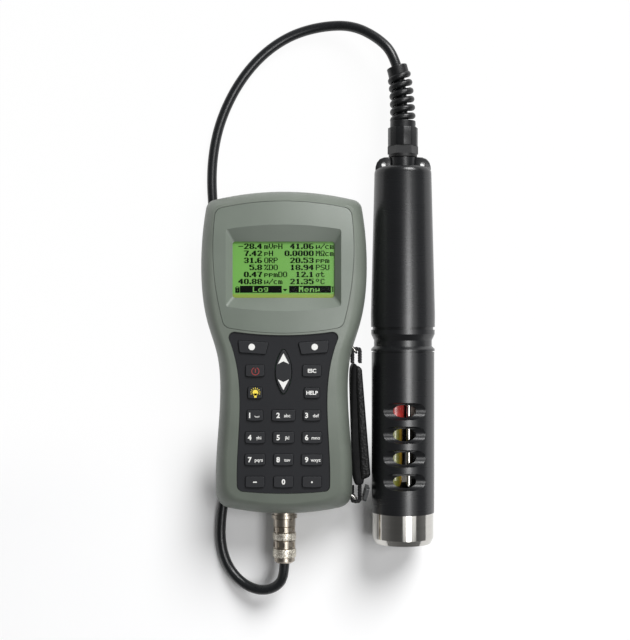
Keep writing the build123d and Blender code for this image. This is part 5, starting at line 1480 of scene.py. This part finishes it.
class METER_OT_gland(bpy.types.Operator):
    """Gland nut with the spiral bend relief moulded on it"""

    bl_idname = "meter.gland"
    bl_label = "Gland nut and spiral"

    def execute(self, context):
        self.cord_side = sizes().cord_diameter / 2 + SPIRAL_GAP
        self.route = curve_points("spiral_route", [CORD_START, *CORD_ROUTE, CORD_END])[::-1]
        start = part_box("gland_body")[0].y + GLAND_HEX_LENGTH
        grip = self.make_grip(start, start + NUT_GRIP_LENGTH)
        dome = self.make_dome(start + NUT_GRIP_LENGTH)
        piece = joined([grip, dome, self.make_spiral(), self.make_collar()])
        nylon = bpy.data.materials["moulded_nylon_gland"]
        dress(piece, "gland_nut_and_spiral", "probe", nylon, smooth=40)
        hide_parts("gland_spiral_nut")
        return {"FINISHED"}

    def make_grip(self, start, shoulder):
        """Twelve-sided grip of the nut."""
        clear_selection()
        bpy.ops.mesh.primitive_cylinder_add(
            vertices=NUT_SIDES, radius=NUT_GRIP_RADIUS / math.cos(math.pi / NUT_SIDES), depth=NUT_GRIP_LENGTH,
            location=(PROBE_AXIS.x, (start + shoulder) / 2, PROBE_AXIS.z), rotation=(math.pi / 2, 0, 0),
        )
        grip = bpy.context.object
        settle(grip)
        into_edit(grip, "EDGE")
        bpy.ops.mesh.select_all(action="SELECT")
        bpy.ops.mesh.bevel(offset=NUT_GRIP_EDGE, segments=2)
        bpy.ops.object.mode_set(mode="OBJECT")
        return grip

    def make_dome(self, shoulder):
        """Rounded shoulder of the nut, which closes in on the spiral."""
        neck = self.cord_side + sizes().rib_width
        foot, crest = shoulder - DOME_SUNK, shoulder + NUT_DOME_LENGTH
        rounding = NUT_SHOULDER_RADIUS - neck
        profile = [(0.0, foot), (NUT_SHOULDER_RADIUS, foot)]
        for x, y in arc_points(rounding, 0, 90, DOME_STEPS):
            profile.append((neck + x, crest - rounding + y))
        profile += [(0.0, crest), (0.0, foot)]
        return turned_piece(profile, PROBE_AXIS, steps=72)

    def make_spiral(self):
        """Rounded rib that winds round the cord and tapers away from the nut."""
        half = sizes().rib_width / 2
        helix = []
        for step in range(int(SPIRAL_TURNS * HELIX_STEPS) + 1):
            turns = step / HELIX_STEPS
            place, along = place_along(self.route, SPIRAL_START + turns * SPIRAL_PITCH)
            side = along.cross(Vector((0, 0, 1))).normalized()
            other = along.cross(side)
            radius = self.cord_side + half + SPIRAL_TAPER * (SPIRAL_TURNS - turns) * SPIRAL_PITCH
            angle = 2 * math.pi * turns
            helix.append(place + side * (radius * math.cos(angle)) + other * (radius * math.sin(angle)))
        return tube_along("spiral", helix, half, sides=16)

    def make_collar(self):
        """Round collar that ends the spiral on the cord."""
        start = SPIRAL_START + SPIRAL_TURNS * SPIRAL_PITCH - sizes().rib_width / 2
        stations = [start + COLLAR_LENGTH * step / COLLAR_STEPS for step in range(COLLAR_STEPS + 1)]
        rings = [place_along(self.route, station)[0] for station in stations]
        collar = tube_along("collar", rings, self.cord_side + COLLAR_WALL, sides=40)
        soften(collar, COLLAR_EDGE, segments=3, angle=50)
        return collar


class METER_OT_strap(bpy.types.Operator):
    """Padded hand strap with its leather-like outer panel"""

    bl_idname = "meter.strap"
    bl_label = "Hand strap"

    def execute(self, context):
        low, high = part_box("hand_strap")
        top = high.y - STRAP_SLACK
        end = low.y + TONGUE_LENGTH
        foot = low.y + STRAP_SLACK
        inner_top = low.x + STRAP_SLACK
        inner_end = inner_top + STRAP_LEAN
        pad_outline = [
            (inner_top, top), (inner_top + PAD_TOP, top), (inner_end + PAD_END, end),
            (inner_end + PAD_END, foot), (inner_end, foot),
        ]
        bottom = low.z + STRAP_SLACK
        pad = slab(pad_outline, bottom, high.z - STRAP_SLACK - bottom)
        apply_modifier(pad, "REMESH", mode="VOXEL", voxel_size=PAD_VOXEL)
        inflate(pad, pressure=PAD_PRESSURE, mass=PAD_MASS, limit=PAD_SWELL)
        apply_modifier(pad, "SUBSURF", levels=1, render_levels=1)
        webbing = bpy.data.materials["woven_nylon_strap"]
        dress(pad, "strap_pad", "handset", webbing, smooth=60)
        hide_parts("hand_strap")

        panel_outline = [
            (inner_top + PAD_TOP * PANEL_SUNK, top - PANEL_TOP_DROPS[0]),
            (inner_top + STRAP_TOP - STRAP_SLACK, top - PANEL_TOP_DROPS[1]),
            (inner_end + STRAP_END - STRAP_SLACK, end + PANEL_END_RISE),
            (inner_end + PAD_END * PANEL_SUNK, end - PANEL_END_DROP),
        ]
        panel = slab(panel_outline, low.z, high.z - low.z)
        soften(panel, PANEL_EDGE, segments=4, angle=40)
        dress(panel, "strap_panel", "handset", grained_leatherette(), smooth=50)
        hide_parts("hand_strap")
        return {"FINISHED"}


class METER_OT_lacing(bpy.types.Operator):
    """Braided lacing cords of the strap"""

    bl_idname = "meter.lacing"
    bl_label = "Lacing"

    def execute(self, context):
        for node in ("strap_cord_upper", "strap_cord_lower"):
            low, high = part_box(node)
            middle = (low.x + high.x) / 2
            height = (low.z + high.z) / 2
            half = (high.x - low.x) / 2 - LACE_RADIUS
            if node.endswith("upper"):
                end, bend = low.y, high.y - LACE_RADIUS
                turn = bend - half
            else:
                end, bend = high.y, low.y + LACE_RADIUS
                turn = bend + half
            stations = (end, (end + turn) / 2, turn, bend)
            route = [(middle - half, station, height) for station in stations]
            route += [(middle + half, station, height) for station in reversed(stations)]
            strands = twisted(curve_points(node + "_route", route), LACE_RADIUS, LACE_STRANDS, LACE_TWIST)
            lace = bpy.data.materials["braided_polyester"]
            piece = dress(joined(strands), node + "_braid", "handset", lace, smooth=60)
            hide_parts(node)
        return {"FINISHED"}


class METER_PT_panel(bpy.types.Panel):
    """Steps that dress the meter"""

    bl_idname = "METER_PT_panel"
    bl_label = "Water quality meter"
    bl_space_type = "VIEW_3D"
    bl_region_type = "UI"
    bl_category = "Meter"

    def draw(self, context):
        column = self.layout.column()
        for step in STEPS:
            column.operator(step.bl_idname)
        for group in (context.scene.meter_colours, context.scene.meter_sizes):
            box = column.box()
            for name in group.bl_rna.properties.keys():
                if name not in ("rna_type", "name"):
                    box.prop(group, name)


STEPS = [
    METER_OT_stage,
    METER_OT_finishes,
    METER_OT_plug,
    METER_OT_cord,
    METER_OT_head,
    METER_OT_display,
    METER_OT_legends,
    METER_OT_gland,
    METER_OT_strap,
    METER_OT_lacing,
]
CLASSES = [MeterColours, MeterSizes, *STEPS, METER_PT_panel]


def register():
    """Register the classes and the scene's settings."""
    for item in CLASSES:
        bpy.utils.register_class(item)
    bpy.types.Scene.meter_colours = bpy.props.PointerProperty(type=MeterColours)
    bpy.types.Scene.meter_sizes = bpy.props.PointerProperty(type=MeterSizes)


def unregister():
    """Take the settings and the classes away again."""
    del bpy.types.Scene.meter_sizes
    del bpy.types.Scene.meter_colours
    for item in reversed(CLASSES):
        bpy.utils.unregister_class(item)


def main():
    """Run every step."""
    register()
    bpy.ops.meter.stage()
    bpy.ops.meter.finishes()
    bpy.ops.meter.plug()
    bpy.ops.meter.cord()
    bpy.ops.meter.head()
    bpy.ops.meter.display()
    bpy.ops.meter.legends()
    bpy.ops.meter.gland()
    bpy.ops.meter.strap()
    bpy.ops.meter.lacing()


if __name__ == "__main__":
    main()
